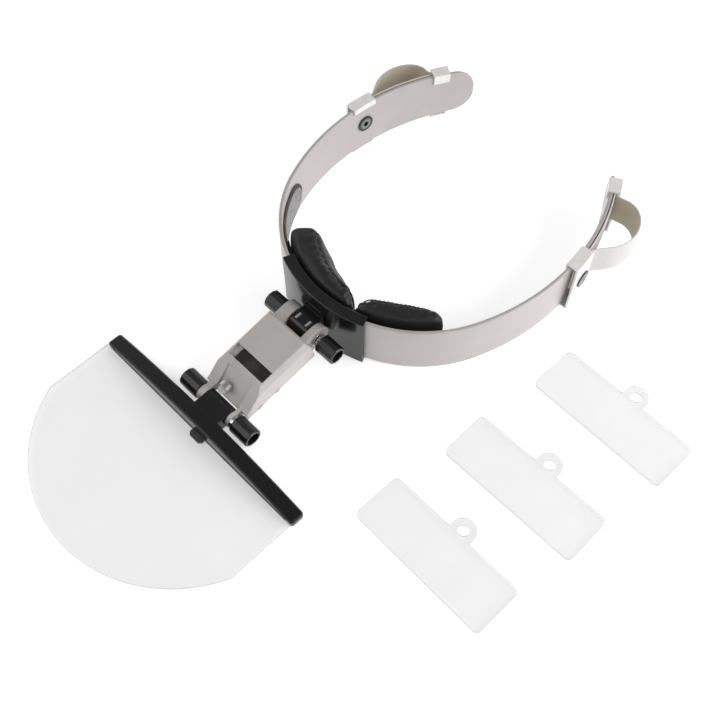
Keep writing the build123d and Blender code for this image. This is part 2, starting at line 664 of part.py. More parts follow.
for hinge, centre, x_right, x_left, length in HINGES:
    right_solid = facet_knob((-x_right, centre.Y, centre.Z), -1, length)
    with BuildPart() as right_knob:
        add(right_solid)
        with BuildSketch(Plane.YZ.offset(-x_right - length - 1)):
            with Locations((centre.Y, centre.Z)):
                Circle(BOLT_R)
        extrude(amount=length + 2, mode=Mode.SUBTRACT)
    save(right_knob, f"{hinge}_knob_right")

    left_solid = facet_knob((x_left, centre.Y, centre.Z), 1, length)
    with BuildPart() as left_knob:
        add(left_solid)
        with BuildSketch(Plane.YZ.offset(x_left - 1)):
            with Locations((centre.Y, centre.Z)):
                Circle(BOLT_R + RUN)
        extrude(amount=length + 2, mode=Mode.SUBTRACT)
    save(left_knob, f"{hinge}_knob_left")

    with BuildPart() as bolt:
        with BuildSketch(Plane.YZ.offset(-x_right - length + KNOB_CUP_D)):
            with Locations((centre.Y, centre.Z)):
                Circle(BOLT_R)
        extrude(amount=x_right + x_left + 2 * length - 2 * KNOB_CUP_D + 1.6)
        with BuildSketch(Plane.YZ.offset(-x_right - length + KNOB_CUP_D - 2.4)):
            with Locations((centre.Y, centre.Z)):
                RegularPolygon(BOLT_HEAD_R, 6)
        extrude(amount=2.4)
    save(bolt, f"{hinge}_bolt")

spring_x = EAR_OUT_L + WIRE_R + LAY
spring_len = SPRING_GAP - 2 * WIRE_R - 3 * LAY
with BuildPart() as band_spring:
    with BuildLine():
        Helix(pitch=spring_len / 1.75, height=spring_len, radius=(BOLT_R + KNOB_R) / 2 + 0.3,
              center=(spring_x, HINGE_Y, HINGE_Z), direction=(1, 0, 0))
    start = band_spring.edges()[0] if band_spring.edges() else band_spring.pending_edges[0]
    with BuildSketch(Plane(origin=start @ 0, z_dir=start % 0)):
        Circle(WIRE_R)
    sweep()
save(band_spring, "band_spring")

with BuildPart() as visor_washers:
    for x in (FORK_OUT_L + 2 * LAY, FORK_OUT_L + WASHER_GAP / 2):
        with BuildSketch(Plane.YZ.offset(x)):
            with Locations((VISOR_Y, VISOR_Z)):
                Circle(KNOB_R - 1.4)
                Circle(BOLT_R + 0.15, mode=Mode.SUBTRACT)
        extrude(amount=WASHER_GAP / 2 - 0.35)
save(visor_washers, "visor_washers")

# ---- visor: lens bar, clamping plate, catch, screws and lens -----------------------
SCREW_Y = (SLOT_Y + BAR_Y1) / 2
SCREW_X = (SCREW_IN - BAR_HALF, -SCREW_MID, SCREW_MID, BAR_HALF - SCREW_IN)
with BuildPart() as lens_bar:
    with BuildSketch(Plane.XZ.offset(-BAR_Y1)):
        with BuildLine():
            Line((-BAR_HALF, SLOT_Z0), (BAR_HALF, SLOT_Z0))
            Line((BAR_HALF, SLOT_Z0), (BAR_HALF, BAR_END_H))
            ThreePointArc((BAR_HALF, BAR_END_H), (0, BAR_MID_H), (-BAR_HALF, BAR_END_H))
            Line((-BAR_HALF, BAR_END_H), (-BAR_HALF, SLOT_Z0))
        make_face()
    extrude(amount=BAR_D)
    upright = lens_bar.edges().filter_by(Axis.Z)
    fillet(upright, BAR_PLAN_R)
    crown = [e for e in lens_bar.edges() if e.length > 1.6 * BAR_HALF and e.center().Z > BAR_END_H]
    chamfer([e for e in crown if e.center().Y < (BAR_Y0 + BAR_Y1) / 2], 0.9)
    with BuildSketch(Plane.XY.offset(SLOT_Z0 - 1)):
        with Locations((0, (BAR_Y0 + SLOT_Y) / 2 - 2)):
            Rectangle(2 * SLOT_HALF, SLOT_D + 4)
    extrude(amount=SLOT_H + 1, mode=Mode.SUBTRACT)
    # lug that carries the hinge bolt
    with BuildSketch(Plane.YZ.offset(-FORK_IN + BAR_PLAY)):
        with Locations((VISOR_Y, VISOR_Z)):
            Circle(FORK_R)
        with Locations(((VISOR_Y + BAR_Y1) / 2 - 1, (SLOT_Z0 + VISOR_Z + FORK_R) / 2)):
            Rectangle(VISOR_Y - BAR_Y1 + 2, VISOR_Z + FORK_R - SLOT_Z0)
    extrude(amount=2 * (FORK_IN - BAR_PLAY))
    with BuildSketch(Plane.YZ.offset(-FORK_IN)):
        with Locations((VISOR_Y, VISOR_Z)):
            Circle(BOLT_R + RUN)
    extrude(amount=2 * FORK_IN, mode=Mode.SUBTRACT)
    for x in SCREW_X:
        with BuildSketch(Plane.XY.offset(SLOT_Z0 - 1)):
            with Locations((x, SCREW_Y)):
                Circle(SCREW_R)
        extrude(amount=4.0, mode=Mode.SUBTRACT)
save(lens_bar, "lens_bar")

with BuildPart() as bar_plate:
    with BuildSketch(Plane.XY):
        with Locations((0, (BAR_Y0 + BAR_Y1) / 2)):
            RectangleRounded(2 * BAR_HALF, BAR_D, BAR_PLAN_R)
        with Locations((CATCH_X, BAR_Y0 + SLOT_D / 2)):
            Rectangle(CATCH_W + 0.6, SLOT_D + 1.4, mode=Mode.SUBTRACT)
        for x in SCREW_X:
            with Locations((x, SCREW_Y)):
                Circle(SCREW_R, mode=Mode.SUBTRACT)
    extrude(amount=PLATE_T)
    for x in SCREW_X:
        with BuildSketch(Plane.XY):
            with Locations((x, SCREW_Y)):
                Circle(SCREW_HEAD_R + LAY)
        extrude(amount=0.9, mode=Mode.SUBTRACT)
save(bar_plate, "bar_plate")

with BuildPart() as bar_screws:
    for x in SCREW_X:
        with BuildSketch(Plane.XY.offset(0.9)):
            with Locations((x, SCREW_Y)):
                Circle(SCREW_R)
        extrude(amount=3.6)
        with BuildSketch(Plane.XY.offset(0.15)):
            with Locations((x, SCREW_Y)):
                Circle(SCREW_HEAD_R)
                Rectangle(2.6, 0.5, mode=Mode.SUBTRACT)
        extrude(amount=0.45)
        with BuildSketch(Plane.XY.offset(0.6)):
            with Locations((x, SCREW_Y)):
                Circle(SCREW_HEAD_R)
        extrude(amount=0.3)
save(bar_screws, "bar_screws")

catch_in = BAR_Y0 + SLOT_D
catch_half = CATCH_W / 2
with BuildPart() as lens_catch:
    with BuildSketch(Plane.XY.offset(0.25)):
        with BuildLine():
            Polyline((CATCH_X - catch_half, catch_in), (CATCH_X + catch_half, catch_in),
                     (CATCH_X + catch_half, BAR_Y0 - 2.2), (CATCH_X + catch_half - 1.9, BAR_Y0 - 4.0),
                     (CATCH_X - catch_half + 1.9, BAR_Y0 - 4.0), (CATCH_X - catch_half, BAR_Y0 - 2.2), close=True)
        make_face()
    extrude(amount=PLATE_T - 0.45)
save(lens_catch, "lens_catch")

LENS_Z0 = SLOT_Z0 + SLOT_PLAY
side_y = (LENS_Y + LENS_R) - math.sqrt(LENS_R ** 2 - LENS_HALF ** 2)
with BuildPart() as main_lens:
    with BuildSketch(Plane.XY.offset(LENS_Z0)):
        with BuildLine():
            ThreePointArc((-LENS_HALF, side_y), (0, LENS_Y), (LENS_HALF, side_y))
            Polyline((LENS_HALF, side_y), (LENS_HALF, BAR_Y0 - 0.3), (SLOT_HALF - 0.4, BAR_Y0 - 0.3),
                     (SLOT_HALF - 0.4, SLOT_Y - 0.3), (-SLOT_HALF + 0.4, SLOT_Y - 0.3),
                     (-SLOT_HALF + 0.4, BAR_Y0 - 0.3), (-LENS_HALF, BAR_Y0 - 0.3), (-LENS_HALF, side_y))
        make_face()
    extrude(amount=LENS_T)
    upper = main_lens.faces().sort_by(Axis.Z)[-1].edges()
    chamfer(upper.filter_by(lambda e: e.center().Y < BAR_Y0 - 0.5), LENS_EDGE)
save(main_lens, "main_lens")

# ---- spare lenses, lying flat beside the headband ----------------------------------
for number, (x, y, turn) in enumerate(SPARES, 1):
    flat = Plane(Location((x, y, 0), (0, 0, turn)))
    with BuildPart() as spare:
        with BuildSketch(flat):
            RectangleRounded(SPARE_L, SPARE_W, SPARE_R)
            with Locations((TAB_X, SPARE_W / 2 + TAB_OUT)):
                Circle(TAB_R)
            with Locations((TAB_X, SPARE_W / 2)):
                Rectangle(2 * TAB_R, 2 * TAB_OUT)
            with Locations((TAB_X, SPARE_W / 2 + TAB_OUT)):
                Circle(TAB_HOLE_R, mode=Mode.SUBTRACT)
        extrude(amount=LENS_T)
        chamfer(spare.faces().sort_by(Axis.Z)[-1].outer_wire().edges(), LENS_EDGE)
    save(spare, f"spare_lens_{number}")

# ---- guide sleeves, tip clips, rivets and straps -------------------------------------
def signed_strip(sign, s0, s1, inset0, inset1):
    if sign > 0:
        return rail_strip(s0, s1, inset0, inset1)
    return rail_strip(-s1, -s0, inset0, inset1)


for side, sign in SIDES:
    s0 = SLEEVE_S0[side]
    s1 = s0 + SLEEVE_L
    rivet_s = sign * RIVET_S[side]
    shell = signed_strip(sign, s0, s1, -LAYER - SLEEVE_T, BAND_T + SEAT + SLEEVE_LIP)
    bore = signed_strip(sign, s0 - 1, s1 + 1, -LAYER, BAND_T + SEAT)
    window = signed_strip(sign, s0 - 1, s1 + 1, BAND_T, BAND_T + 4)
    with BuildPart() as sleeve:
        with BuildSketch(Plane.XY):
            add(shell)
        extrude(amount=TOP_Z)
        outer = sleeve.faces().filter_by(Axis.Z)
        fillet([e for f in outer for e in f.edges() if e.length > SLEEVE_L - 1], 0.6)
        with BuildSketch(Plane.XY.offset(BAND_Z0 - SEAT)):
            add(bore)
        extrude(amount=BAND_Z1 - BAND_Z0 + 2 * SEAT, mode=Mode.SUBTRACT)
        with BuildSketch(Plane.XY.offset(-1)):
            add(window)
        extrude(amount=BAND_Z1 - TOP_LIP + 1, mode=Mode.SUBTRACT)
        with BuildSketch(rail_plane(rivet_s, -LAYER + 1, RIVET_Z)):
            Circle(RIVET_SHANK_R + SEAT)
        extrude(amount=SLEEVE_T + 3, mode=Mode.SUBTRACT)
    save(sleeve, f"guide_sleeve_{side}")

    with BuildPart() as rivet:
        with BuildSketch(rail_plane(rivet_s, BAND_T + 1.1, RIVET_Z)):
            Circle(RIVET_R)
        extrude(amount=0.85)
        with BuildSketch(rail_plane(rivet_s, BAND_T + 1.1, RIVET_Z)):
            Circle(RIVET_SHANK_R)
        extrude(amount=BAND_T + LAYER + SLEEVE_T + 1.5)
        with BuildSketch(rail_plane(rivet_s, -LAYER - SLEEVE_T - 0.14, RIVET_Z)):
            Circle(RIVET_R)
        extrude(amount=0.8)
        with BuildSketch(rail_plane(rivet_s, BAND_T + 1.7, RIVET_Z)):
            Circle(1.7)
        extrude(amount=2.6, mode=Mode.SUBTRACT)
    save(rivet, f"rivet_{side}")

    near = -STRAP_GAP
    far = -STRAP_GAP - STRAP_T
    c0 = TIP_CLIP_S0[side]
    c1 = c0 + TIP_CLIP_L
    s_in = s0 + 2.5
    s_out = c1 - 1.6
    inner_run = signed_strip(sign, s_in, s_out, near, far)
    root_run = signed_strip(sign, s_in, s1 + 1.2, far, far - STRAP_T)
    tail_run = signed_strip(sign, c0 - 1.2, s_out, far, far - STRAP_T)
    # the loop bellies out between the sleeve and the tip clip
    s_start = s1 + 0.6
    s_end = c0 - 0.6
    span = s_end - s_start
    belly = [(s_start, 0.0), (s_start + 0.19 * span, 0.50), (s_start + 0.38 * span, 0.88),
             (s_start + 0.60 * span, 1.0), (s_start + 0.80 * span, 0.86), (s_start + 0.93 * span, 0.50),
             (s_end, 0.0)]
    loop_pts = [rail(sign * s, far - STRAP_T / 2 - share * LOOP_OUT[side]) for s, share in belly]
    n0 = outward(sign * s_start)
    n1 = outward(sign * s_end)
    ends = [Vector(-n0.Y * sign, n0.X * sign, 0) * 0.9 + n0 * 0.44,
            Vector(-n1.Y * sign, n1.X * sign, 0) * 0.6 - n1 * 0.8]
    with BuildSketch() as loop_plan:
        with BuildLine():
            Spline(*loop_pts, tangents=ends)
        trace(line_width=STRAP_T)
    loop_face = loop_plan.sketch
    with BuildPart() as strap:
        with BuildSketch(Plane.XY.offset(STRAP_Z0)):
            add(inner_run)
            add(root_run)
            add(tail_run)
            add(loop_face)
        extrude(amount=STRAP_Z1 - STRAP_Z0)
        with BuildSketch(rail_plane(rivet_s, BAND_T + 2, RIVET_Z)):
            Circle(RIVET_SHANK_R + SEAT)
        extrude(amount=BAND_T + 9, mode=Mode.SUBTRACT)
    save(strap, f"strap_{side}")

    clip_shell = signed_strip(sign, c0, c1, -LAYER - SLEEVE_T, BAND_T + SEAT + SLEEVE_LIP)
    clip_bore = signed_strip(sign, c0 - 1, c1 + 1, -LAYER, BAND_T + SEAT)
    clip_open = signed_strip(sign, c0 - 1, c1 + 1, BAND_T, BAND_T + 4)
    with BuildPart() as tip_clip:
        with BuildSketch(Plane.XY.offset(BAND_Z0)):
            add(clip_shell)
        extrude(amount=TOP_Z - BAND_Z0)
        outer = tip_clip.faces().filter_by(Axis.Z)
        fillet([e for f in outer for e in f.edges() if e.length > TIP_CLIP_L - 1], 0.6)
        with BuildSketch(Plane.XY.offset(BAND_Z0 + 1.4)):
            add(clip_bore)
        extrude(amount=BAND_Z1 - BAND_Z0 - 1.3, mode=Mode.SUBTRACT)
        with BuildSketch(Plane.XY.offset(-1)):
            add(clip_open)
        extrude(amount=BAND_Z1 - CLIP_TOP_LIP + 1, mode=Mode.SUBTRACT)
    save(tip_clip, f"tip_clip_{side}")
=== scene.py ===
"""Looks of the head visor magnifier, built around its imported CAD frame.

The hard parts are the CAD nodes with worked materials. The soft parts (forehead cushions, their backing
panel, the hook strip and the two side straps) are surfaces worked out here, and the small things that a
maker would add (seams, stitches, the inside of the lamp) ride beside them.
"""
import math

import bpy
import numpy as np
from mathutils import Matrix, Vector


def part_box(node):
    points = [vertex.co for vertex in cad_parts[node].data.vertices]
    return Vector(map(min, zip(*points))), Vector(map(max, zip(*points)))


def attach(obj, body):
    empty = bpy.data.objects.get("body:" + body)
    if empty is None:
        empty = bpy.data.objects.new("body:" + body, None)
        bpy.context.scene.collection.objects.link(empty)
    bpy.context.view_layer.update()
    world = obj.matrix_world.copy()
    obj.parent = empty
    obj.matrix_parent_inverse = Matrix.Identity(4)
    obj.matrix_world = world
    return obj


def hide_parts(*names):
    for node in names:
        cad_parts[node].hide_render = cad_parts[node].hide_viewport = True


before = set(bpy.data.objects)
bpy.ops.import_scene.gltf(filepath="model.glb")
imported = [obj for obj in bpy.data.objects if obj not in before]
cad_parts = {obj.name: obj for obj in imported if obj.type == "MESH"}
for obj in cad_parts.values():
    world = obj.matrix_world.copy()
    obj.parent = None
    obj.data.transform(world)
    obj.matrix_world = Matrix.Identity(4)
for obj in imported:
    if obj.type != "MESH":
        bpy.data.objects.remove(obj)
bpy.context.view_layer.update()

# ---- sizes, in metres ---------------------------------------------------------------------------
MM = 0.001
TURN = 2 * math.pi

HALF_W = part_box("headband")[1].x             # half of the headband's outside width
FRONT_R = 89.0 * MM                          # outside radius across the forehead
SIDE_R = 158.0 * MM                          # outside radius along each temple
SIDE_CX = SIDE_R - HALF_W
SIDE_CY = FRONT_R + math.sqrt((SIDE_R - FRONT_R) ** 2 - SIDE_CX ** 2)
JOIN_A = math.atan2(FRONT_R - SIDE_CY, SIDE_CX)
JOIN_S = FRONT_R * (math.pi / 2 + JOIN_A)

PINCH_S = 22.0 * MM                          # the cushions meet this far round to the wearer's left
PAD_LEN = {"right": 80.0 * MM, "left": 62.5 * MM}
PAD_T = {"right": 21.0 * MM, "left": 16.0 * MM}
PAD_LOW = min(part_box("pad_left")[0].z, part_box("pad_right")[0].z)
PAD_HIGH = max(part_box("pad_left")[1].z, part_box("pad_right")[1].z)
PAD_MID = (PAD_LOW + PAD_HIGH) / 2
PAD_BACK = 5.98 * MM                         # inset of the cushions' flat back
PAD_LOOSE = 1.4 * MM                         # the cover is cut this much small; the stuffing makes it up
# each cushion from the pinch to its outer end: share of the length, of the thickness and of the height
PUFF = {
    "right": [(0.003, 0.30, 0.56), (0.03, 0.45, 0.78), (0.08, 0.56, 0.90), (0.16, 0.68, 0.97),
              (0.35, 0.83, 1.0), (0.62, 0.98, 1.0), (0.85, 1.0, 0.98), (0.95, 0.92, 0.94),
              (0.99, 0.66, 0.84)],
    "left": [(0.003, 0.40, 0.56), (0.03, 0.58, 0.78), (0.08, 0.74, 0.90), (0.16, 0.86, 0.97),
             (0.35, 0.98, 1.0), (0.61, 1.0, 1.0), (0.83, 0.86, 0.97), (0.94, 0.66, 0.90),
             (0.99, 0.42, 0.80)],
}

WEB_LOW, WEB_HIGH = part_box("pad_web")
WEB_INSET = (4.36 * MM, 5.56 * MM)           # outer and inner face of the backing panel
WEB_IN = 3.0 * MM                            # the panel ends this far inside the cushions
WEB_CORNER = 6 * MM
WEB_SEW = 2 * MM                             # its sewn row from its edge
HOOK_LOW, HOOK_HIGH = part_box("hook_backing")
HOOK_MID, HOOK_REACH = 2.5 * MM, 114.5 * MM  # the strip's middle and half its length, round the band
HOOK_TILT = math.radians(1.7)                # stuck on a little out of level, higher on the left
HOOK_INSET = (2.52 * MM, 3.32 * MM)          # outer and inner face of the black strip
PILE_INSET = (3.30 * MM, 4.30 * MM)          # and of the nap on it
PILE_MARGIN = 2.4 * MM                       # black border left round the nap
PILE_FUZZ = 0.22 * MM

STRAP_LOW, STRAP_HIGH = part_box("strap_left")
STRAP_T = 1.4 * MM
STRAP_NEAR = 0.4 * MM                        # gap between strap and band
STRAP_PLY = 0.03 * MM                        # gap between the strap's two runs
STRAP_RUN = {"right": (175.5 * MM, 249.4 * MM), "left": (180.0 * MM, 256.9 * MM)}
LOOP_RUN = {"right": (192.1 * MM, 238.4 * MM), "left": (196.6 * MM, 245.9 * MM)}
LOOP_OUT = {"right": 14.5 * MM, "left": 19.5 * MM}
# the loop from its root to its end: share of the way along and share of how far it stands out
LOOP_SHARES = [(0.0, 0.0), (0.19, 0.50), (0.38, 0.88), (0.60, 1.0), (0.80, 0.86), (0.93, 0.50), (1.0, 0.0)]
RIVET_S = {"right": 183.5 * MM, "left": 188.0 * MM}

HINGE = Vector((0, -12.2, 20.3)) * MM        # band hinge axis
VISOR = Vector((0, -82.0, 7.0)) * MM         # visor hinge axis
LAMP_FWD = (VISOR - HINGE).normalized()
LAMP_UP = Vector((1, 0, 0)).cross(LAMP_FWD).normalized() * -1.0
LED_X, LED_V = -4.0 * MM, 6.0 * MM           # lamp's place across the arm and above the hinge line


# ---- shader kit ---------------------------------------------------------------------------------
class Value:
    """A shader socket that takes part in sums: each operator adds a Math node."""

    def __init__(self, look, socket):
        self.look = look
        self.socket = socket

    def math(self, operation, *others):
        values = dict(enumerate(others, start=1))
        return self.look.node("Math", {"operation": operation}, {0: self, **values})

    def __add__(self, other):
        return self.math("ADD", other)

    def __mul__(self, other):
        return self.math("MULTIPLY", other)

    def __sub__(self, other):
        return self.math("SUBTRACT", other)

    def __rsub__(self, other):
        return self.look.node("Math", {"operation": "SUBTRACT"}, {0: other, 1: self})

    __radd__ = __add__
    __rmul__ = __mul__

    def sin(self):
        return self.math("SINE")

    def size(self):
        return self.math("ABSOLUTE")

    def step(self, low, high):
        """0 below low, 1 above high, smooth between them."""
        return self.look.node("MapRange", {"interpolation_type": "SMOOTHSTEP"},
                              {"Value": self, "From Min": low, "From Max": high})


class Look:
    """One material: a node tree that ends in a Principled shader."""

    def __init__(self, name):
        self.material = bpy.data.materials.new(name)
        self.material.use_nodes = True
        self.tree = self.material.node_tree
        self.tree.nodes.clear()
        self.place = self.node("TexCoord", {}, {}, "Object")

    def node(self, kind, settings, sockets, output=0):
        """Adds a node of that kind, sets it up, then gives its sockets their values or links."""
        made = self.tree.nodes.new("ShaderNode" + kind)
        for name, value in settings.items():
            setattr(made, name, value)
        for name, value in sockets.items():
            if isinstance(value, Value):
                self.tree.links.new(value.socket, made.inputs[name])
            else:
                made.inputs[name].default_value = value
        return Value(self, made.outputs[output])

    def noise(self, grain, detail=2.0, rough=0.5, stretch=None):
        """Cloudy value from 0 to 1 with features about as large as grain, in metres."""
        place = self.place
        if stretch:
            place = self.node("Mapping", {}, {"Vector": place, "Scale": stretch})
        return self.node("TexNoise", {}, {"Vector": place, "Scale": 1 / grain, "Detail": detail,
                                          "Roughness": rough})

    def cells(self, grain):
        """Distance from the middle of uneven cells about as large as grain."""
        return self.node("TexVoronoi", {"feature": "F1"},
                         {"Vector": self.place, "Scale": 1 / grain, "Randomness": 1.0}, "Distance")

    def mix(self, mask, under, over):
        """Colour under where the mask is 0 and over where it is 1."""
        return self.node("Mix", {"data_type": "RGBA"}, {0: mask, 6: under, 7: over}, 2)

    def edges(self, radius):
        """Rounded normal at the edges, and a mask that is 1 along them."""
        rounded = self.node("Bevel", {"samples": 6}, {"Radius": radius})
        plain = self.node("NewGeometry", {}, {}, "Normal")
        alike = self.node("VectorMath", {"operation": "DOT_PRODUCT"}, {0: rounded, 1: plain}, "Value")
        return rounded, (1 - alike).step(0.01, 0.22)

    def bump(self, height, depth, normal=None):
        """Normal of a surface whose height runs from 0 to depth, in metres."""
        sockets = {"Height": height, "Distance": depth, "Strength": 1.0}
        if normal:
            sockets["Normal"] = normal
        return self.node("Bump", {}, sockets)

    def finish(self, colour, rough, normal=None, **constants):
        """Closes the tree. Constants are set on the shader's own sockets, with _ for each space."""
        sockets = {"Base Color": colour, "Roughness": rough}
        if normal:
            sockets["Normal"] = normal
        sockets.update({name.replace("_", " "): value for name, value in constants.items()})
        shader = self.node("BsdfPrincipled", {}, sockets)
        end = self.tree.nodes.new("ShaderNodeOutputMaterial")
        self.tree.links.new(shader.socket, end.inputs["Surface"])
        return self.material


def grey(level, warm=0.0):
    """Colour of that linear level, warmer with a higher second number."""
    return (level * (1 + warm), level, level * (1 - warm * 0.6), 1)


# ---- finishes -----------------------------------------------------------------------------------
def moulded(name, colour, edge_wear_and_highlight_colour, gloss, grain, depth, edge, flow, refraction):
    """Moulded plastic: faint flow clouds, a fine skin, and edges paler and smoother, partly rubbed wear and
    partly a painted highlight along them.

    Grain and depth are the skin's, edge is the radius that its edges seem to have, and flow is how far
    the clouds lighten and darken the colour.
    """
    look = Look(name)
    rounded, rim = look.edges(edge)
    clouds = look.noise(22 * MM, 3.0)
    dark = tuple(c * (1 - flow) for c in colour[:3]) + (1,)
    pale = tuple(c * (1 + flow) for c in colour[:3]) + (1,)
    body = look.mix(clouds.step(0.3, 0.7), dark, pale)
    # edges painted paler in broken patches: partly rubbed wear, partly a painted highlight where the edges
    # catch the light
    edge_wear_and_highlight = rim * look.noise(3 * MM, 3.0).step(0.25, 0.6)
    colour = look.mix(edge_wear_and_highlight, body, edge_wear_and_highlight_colour)
    skin = look.noise(grain, 2.0, 0.6)
    rough = gloss + skin * 0.06 + clouds * 0.05 - rim * 0.04
    return look.finish(colour, rough, look.bump(skin, depth, rounded), IOR=refraction)


def band_grey():
    return moulded("band_grey", (0.445, 0.412, 0.407, 1), (0.62, 0.585, 0.58, 1), gloss=0.27,
                   grain=0.9 * MM, depth=0.012 * MM, edge=0.5 * MM, flow=0.03, refraction=1.5)


def lamp_grey():
    return moulded("lamp_grey", (0.50, 0.475, 0.46, 1), (0.70, 0.675, 0.66, 1), gloss=0.36,
                   grain=0.45 * MM, depth=0.018 * MM, edge=0.45 * MM, flow=0.035, refraction=1.48)


def gloss_black():
    return moulded("gloss_black", grey(0.0045, 0.04), grey(0.022, 0.02), gloss=0.15,
                   grain=0.7 * MM, depth=0.008 * MM, edge=0.35 * MM, flow=0.25, refraction=1.5)


def knob_black():
    return moulded("knob_black", grey(0.011), grey(0.06), gloss=0.22,
                   grain=0.5 * MM, depth=0.015 * MM, edge=0.30 * MM, flow=0.25, refraction=1.5)


def rubbed_slider():
    """Black slider, worn grey and smoother where the finger pushes it."""
    look = Look("rubbed_slider")
    rounded, rim = look.edges(0.35 * MM)
    middle = (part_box("switch_slider")[0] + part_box("switch_slider")[1]) / 2
    near = look.node("VectorMath", {"operation": "DISTANCE"}, {0: look.place, 1: middle}, "Value")
    thumb = (1 - near.step(1.5 * MM, 7.5 * MM)) * look.noise(0.8 * MM, 4.0, 0.7).step(0.35, 0.75)
    colour = look.mix(thumb * 0.8 + rim * 0.5, grey(0.010), grey(0.085))
    skin = look.noise(0.5 * MM, 3.0)
    rough = 0.30 - thumb * 0.06 + skin * 0.06
    return look.finish(colour, rough, look.bump(skin, 0.012 * MM, rounded), IOR=1.5)


def turned_metal(name, level, gloss, tarnish):
    """Bright metal with fine turning marks and cloudy tarnish."""
    look = Look(name)
    marks = look.noise(0.22 * MM, 2.0, 0.6, (0.25, 1.0, 1.0))
    stain = look.noise(1.6 * MM, 3.0)
    colour = look.mix(stain.step(0.35, 0.75) * tarnish, grey(level, 0.01), grey(level * 0.55, 0.05))
    rough = gloss + marks * 0.10 + stain * 0.06
    return look.finish(colour, rough, look.bump(marks, 0.008 * MM), Metallic=1.0)


def rivet_rings(side, sign):
    """Rivet head: black rim and middle with a worn grey ring between, by distance from the rivet's axis."""
    look = Look(f"rivet_rings_{side}")
    low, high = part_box(f"rivet_{side}")
    radius = (high.z - low.z) / 2
    across = rail([sign * RIVET_S[side]], 1.0) - rail([sign * RIVET_S[side]], 0.0)
    middle = (low + high) / 2
    from_middle = look.node("VectorMath", {"operation": "SUBTRACT"}, {0: look.place, 1: middle}, "Vector")
    sideways = look.node("VectorMath", {"operation": "CROSS_PRODUCT"},
                         {0: from_middle, 1: (across[0, 0], across[0, 1], 0.0)}, "Vector")
    away = look.node("VectorMath", {"operation": "LENGTH"}, {0: sideways}, "Value")
    ring = away.step(0.30 * radius, 0.38 * radius) * (1 - away.step(0.66 * radius, 0.74 * radius))
    stain = look.noise(1.2 * MM, 3.0)
    colour = look.mix(ring, grey(0.006), look.mix(stain, grey(0.10), grey(0.24)))
    return look.finish(colour, 0.26 + stain * 0.12, look.bump(stain, 0.01 * MM), IOR=1.5)


def cushion_leather():
    """Soft coated cloth: small uneven grain with darker valleys, a dull sheen, and polish along the folds."""
    look = Look("cushion_leather")
    pebbles = look.cells(0.75 * MM)
    fine = look.cells(0.33 * MM)
    folds = look.noise(6.5 * MM, 4.0, 0.55)
    grain = 1 - (pebbles * 0.7 + fine * 0.3)
    colour = look.mix(grain.step(0.35, 0.9), grey(0.0035), grey(0.0115, 0.02))
    rough = 0.47 - folds.step(0.4, 0.75) * 0.12 + pebbles * 0.12
    normal = look.bump(grain, 0.055 * MM, look.bump(folds, 0.55 * MM))
    return look.finish(colour, rough, normal, IOR=1.46, Sheen_Weight=0.10, Sheen_Roughness=0.5)


def thread(name, level):
    """Twisted sewing thread: slanting strands along its own length."""
    look = Look(name)
    strands = look.noise(0.25 * MM, 2.0)
    return look.finish(look.mix(strands, grey(level * 0.5), grey(level * 1.4)), 0.6 + strands * 0.2,
                       look.bump(strands, 0.05 * MM), Sheen_Weight=0.3)


def hook_cloth(name, level, grain, depth):
    """Hook strip: a nap of stiff little loops over a knitted ground."""
    look = Look(name)
    loops = look.cells(grain)
    nap = look.noise(grain * 0.45, 3.0, 0.7)
    patchy = look.noise(5 * MM, 3.0)
    shade = (1 - loops) * 0.7 + nap * 0.5 + patchy.step(0.3, 0.7) * 0.15
    colour = look.mix(shade.step(0.2, 1.05), grey(level * 0.25), grey(level * 1.5))
    return look.finish(colour, 0.75 + nap * 0.15, look.bump(nap + (1 - loops), depth), Sheen_Weight=0.2)


def strap_web():
    """Knitted elastic: long ribs crossed by fine weft, grey-white outside and buff inside, from the UV map.

    U runs along the strap and V round its section, both in metres; the second map's U is 1 on the inside.
    """
    look = Look("strap_web")
    along, across = split_uv(look, "weave")
    lining, _ = split_uv(look, "lining")
    rib_width, weft_width = 1.25 * MM, 0.62 * MM
    ribs = (across * (TURN / rib_width)).sin()
    weft = (along * (TURN / weft_width) + ribs * 0.9).sin()
    yarn = look.noise(0.35 * MM, 3.0)
    height = ribs * 0.5 + weft * 0.28 + yarn * 0.3
    outside = look.mix(height.step(-0.5, 0.8), (0.50, 0.485, 0.475, 1), (0.70, 0.685, 0.675, 1))
    inside = look.mix(height.step(-0.5, 0.8), (0.36, 0.31, 0.22, 1), (0.60, 0.54, 0.43, 1))
    soil = look.noise(7 * MM, 3.0).step(0.55, 0.85) * 0.12
    colour = look.mix(soil, look.mix(lining, outside, inside), (0.33, 0.30, 0.25, 1))
    return look.finish(colour, 0.66 + yarn * 0.15, look.bump(height, 0.07 * MM), Sheen_Weight=0.25)


def split_uv(look, name):
    """Both values of the UV map of that name."""
    uv = look.node("UVMap", {"uv_map": name}, {})
    parts = look.node("SeparateXYZ", {}, {0: uv}).socket.node
    return Value(look, parts.outputs[0]), Value(look, parts.outputs[1])


def cloudy_clear():
    """Sleeves and tip clips: cloudy clear plastic with paler edges and fine scuffs."""
    look = Look("cloudy_clear")
    rounded, rim = look.edges(0.4 * MM)
    haze = look.noise(4 * MM, 3.0)
    scuffs = look.noise(0.5 * MM, 4.0, 0.7, (1.0, 0.25, 1.0))
    colour = look.mix(haze.step(0.3, 0.7), (0.84, 0.82, 0.815, 1), (0.91, 0.895, 0.89, 1))
    colour = look.mix(rim * 0.6, colour, (0.95, 0.94, 0.94, 1))
    return look.finish(colour, 0.24 + scuffs * 0.14, look.bump(scuffs, 0.012 * MM, rounded), IOR=1.47,
                       Transmission_Weight=0.12)


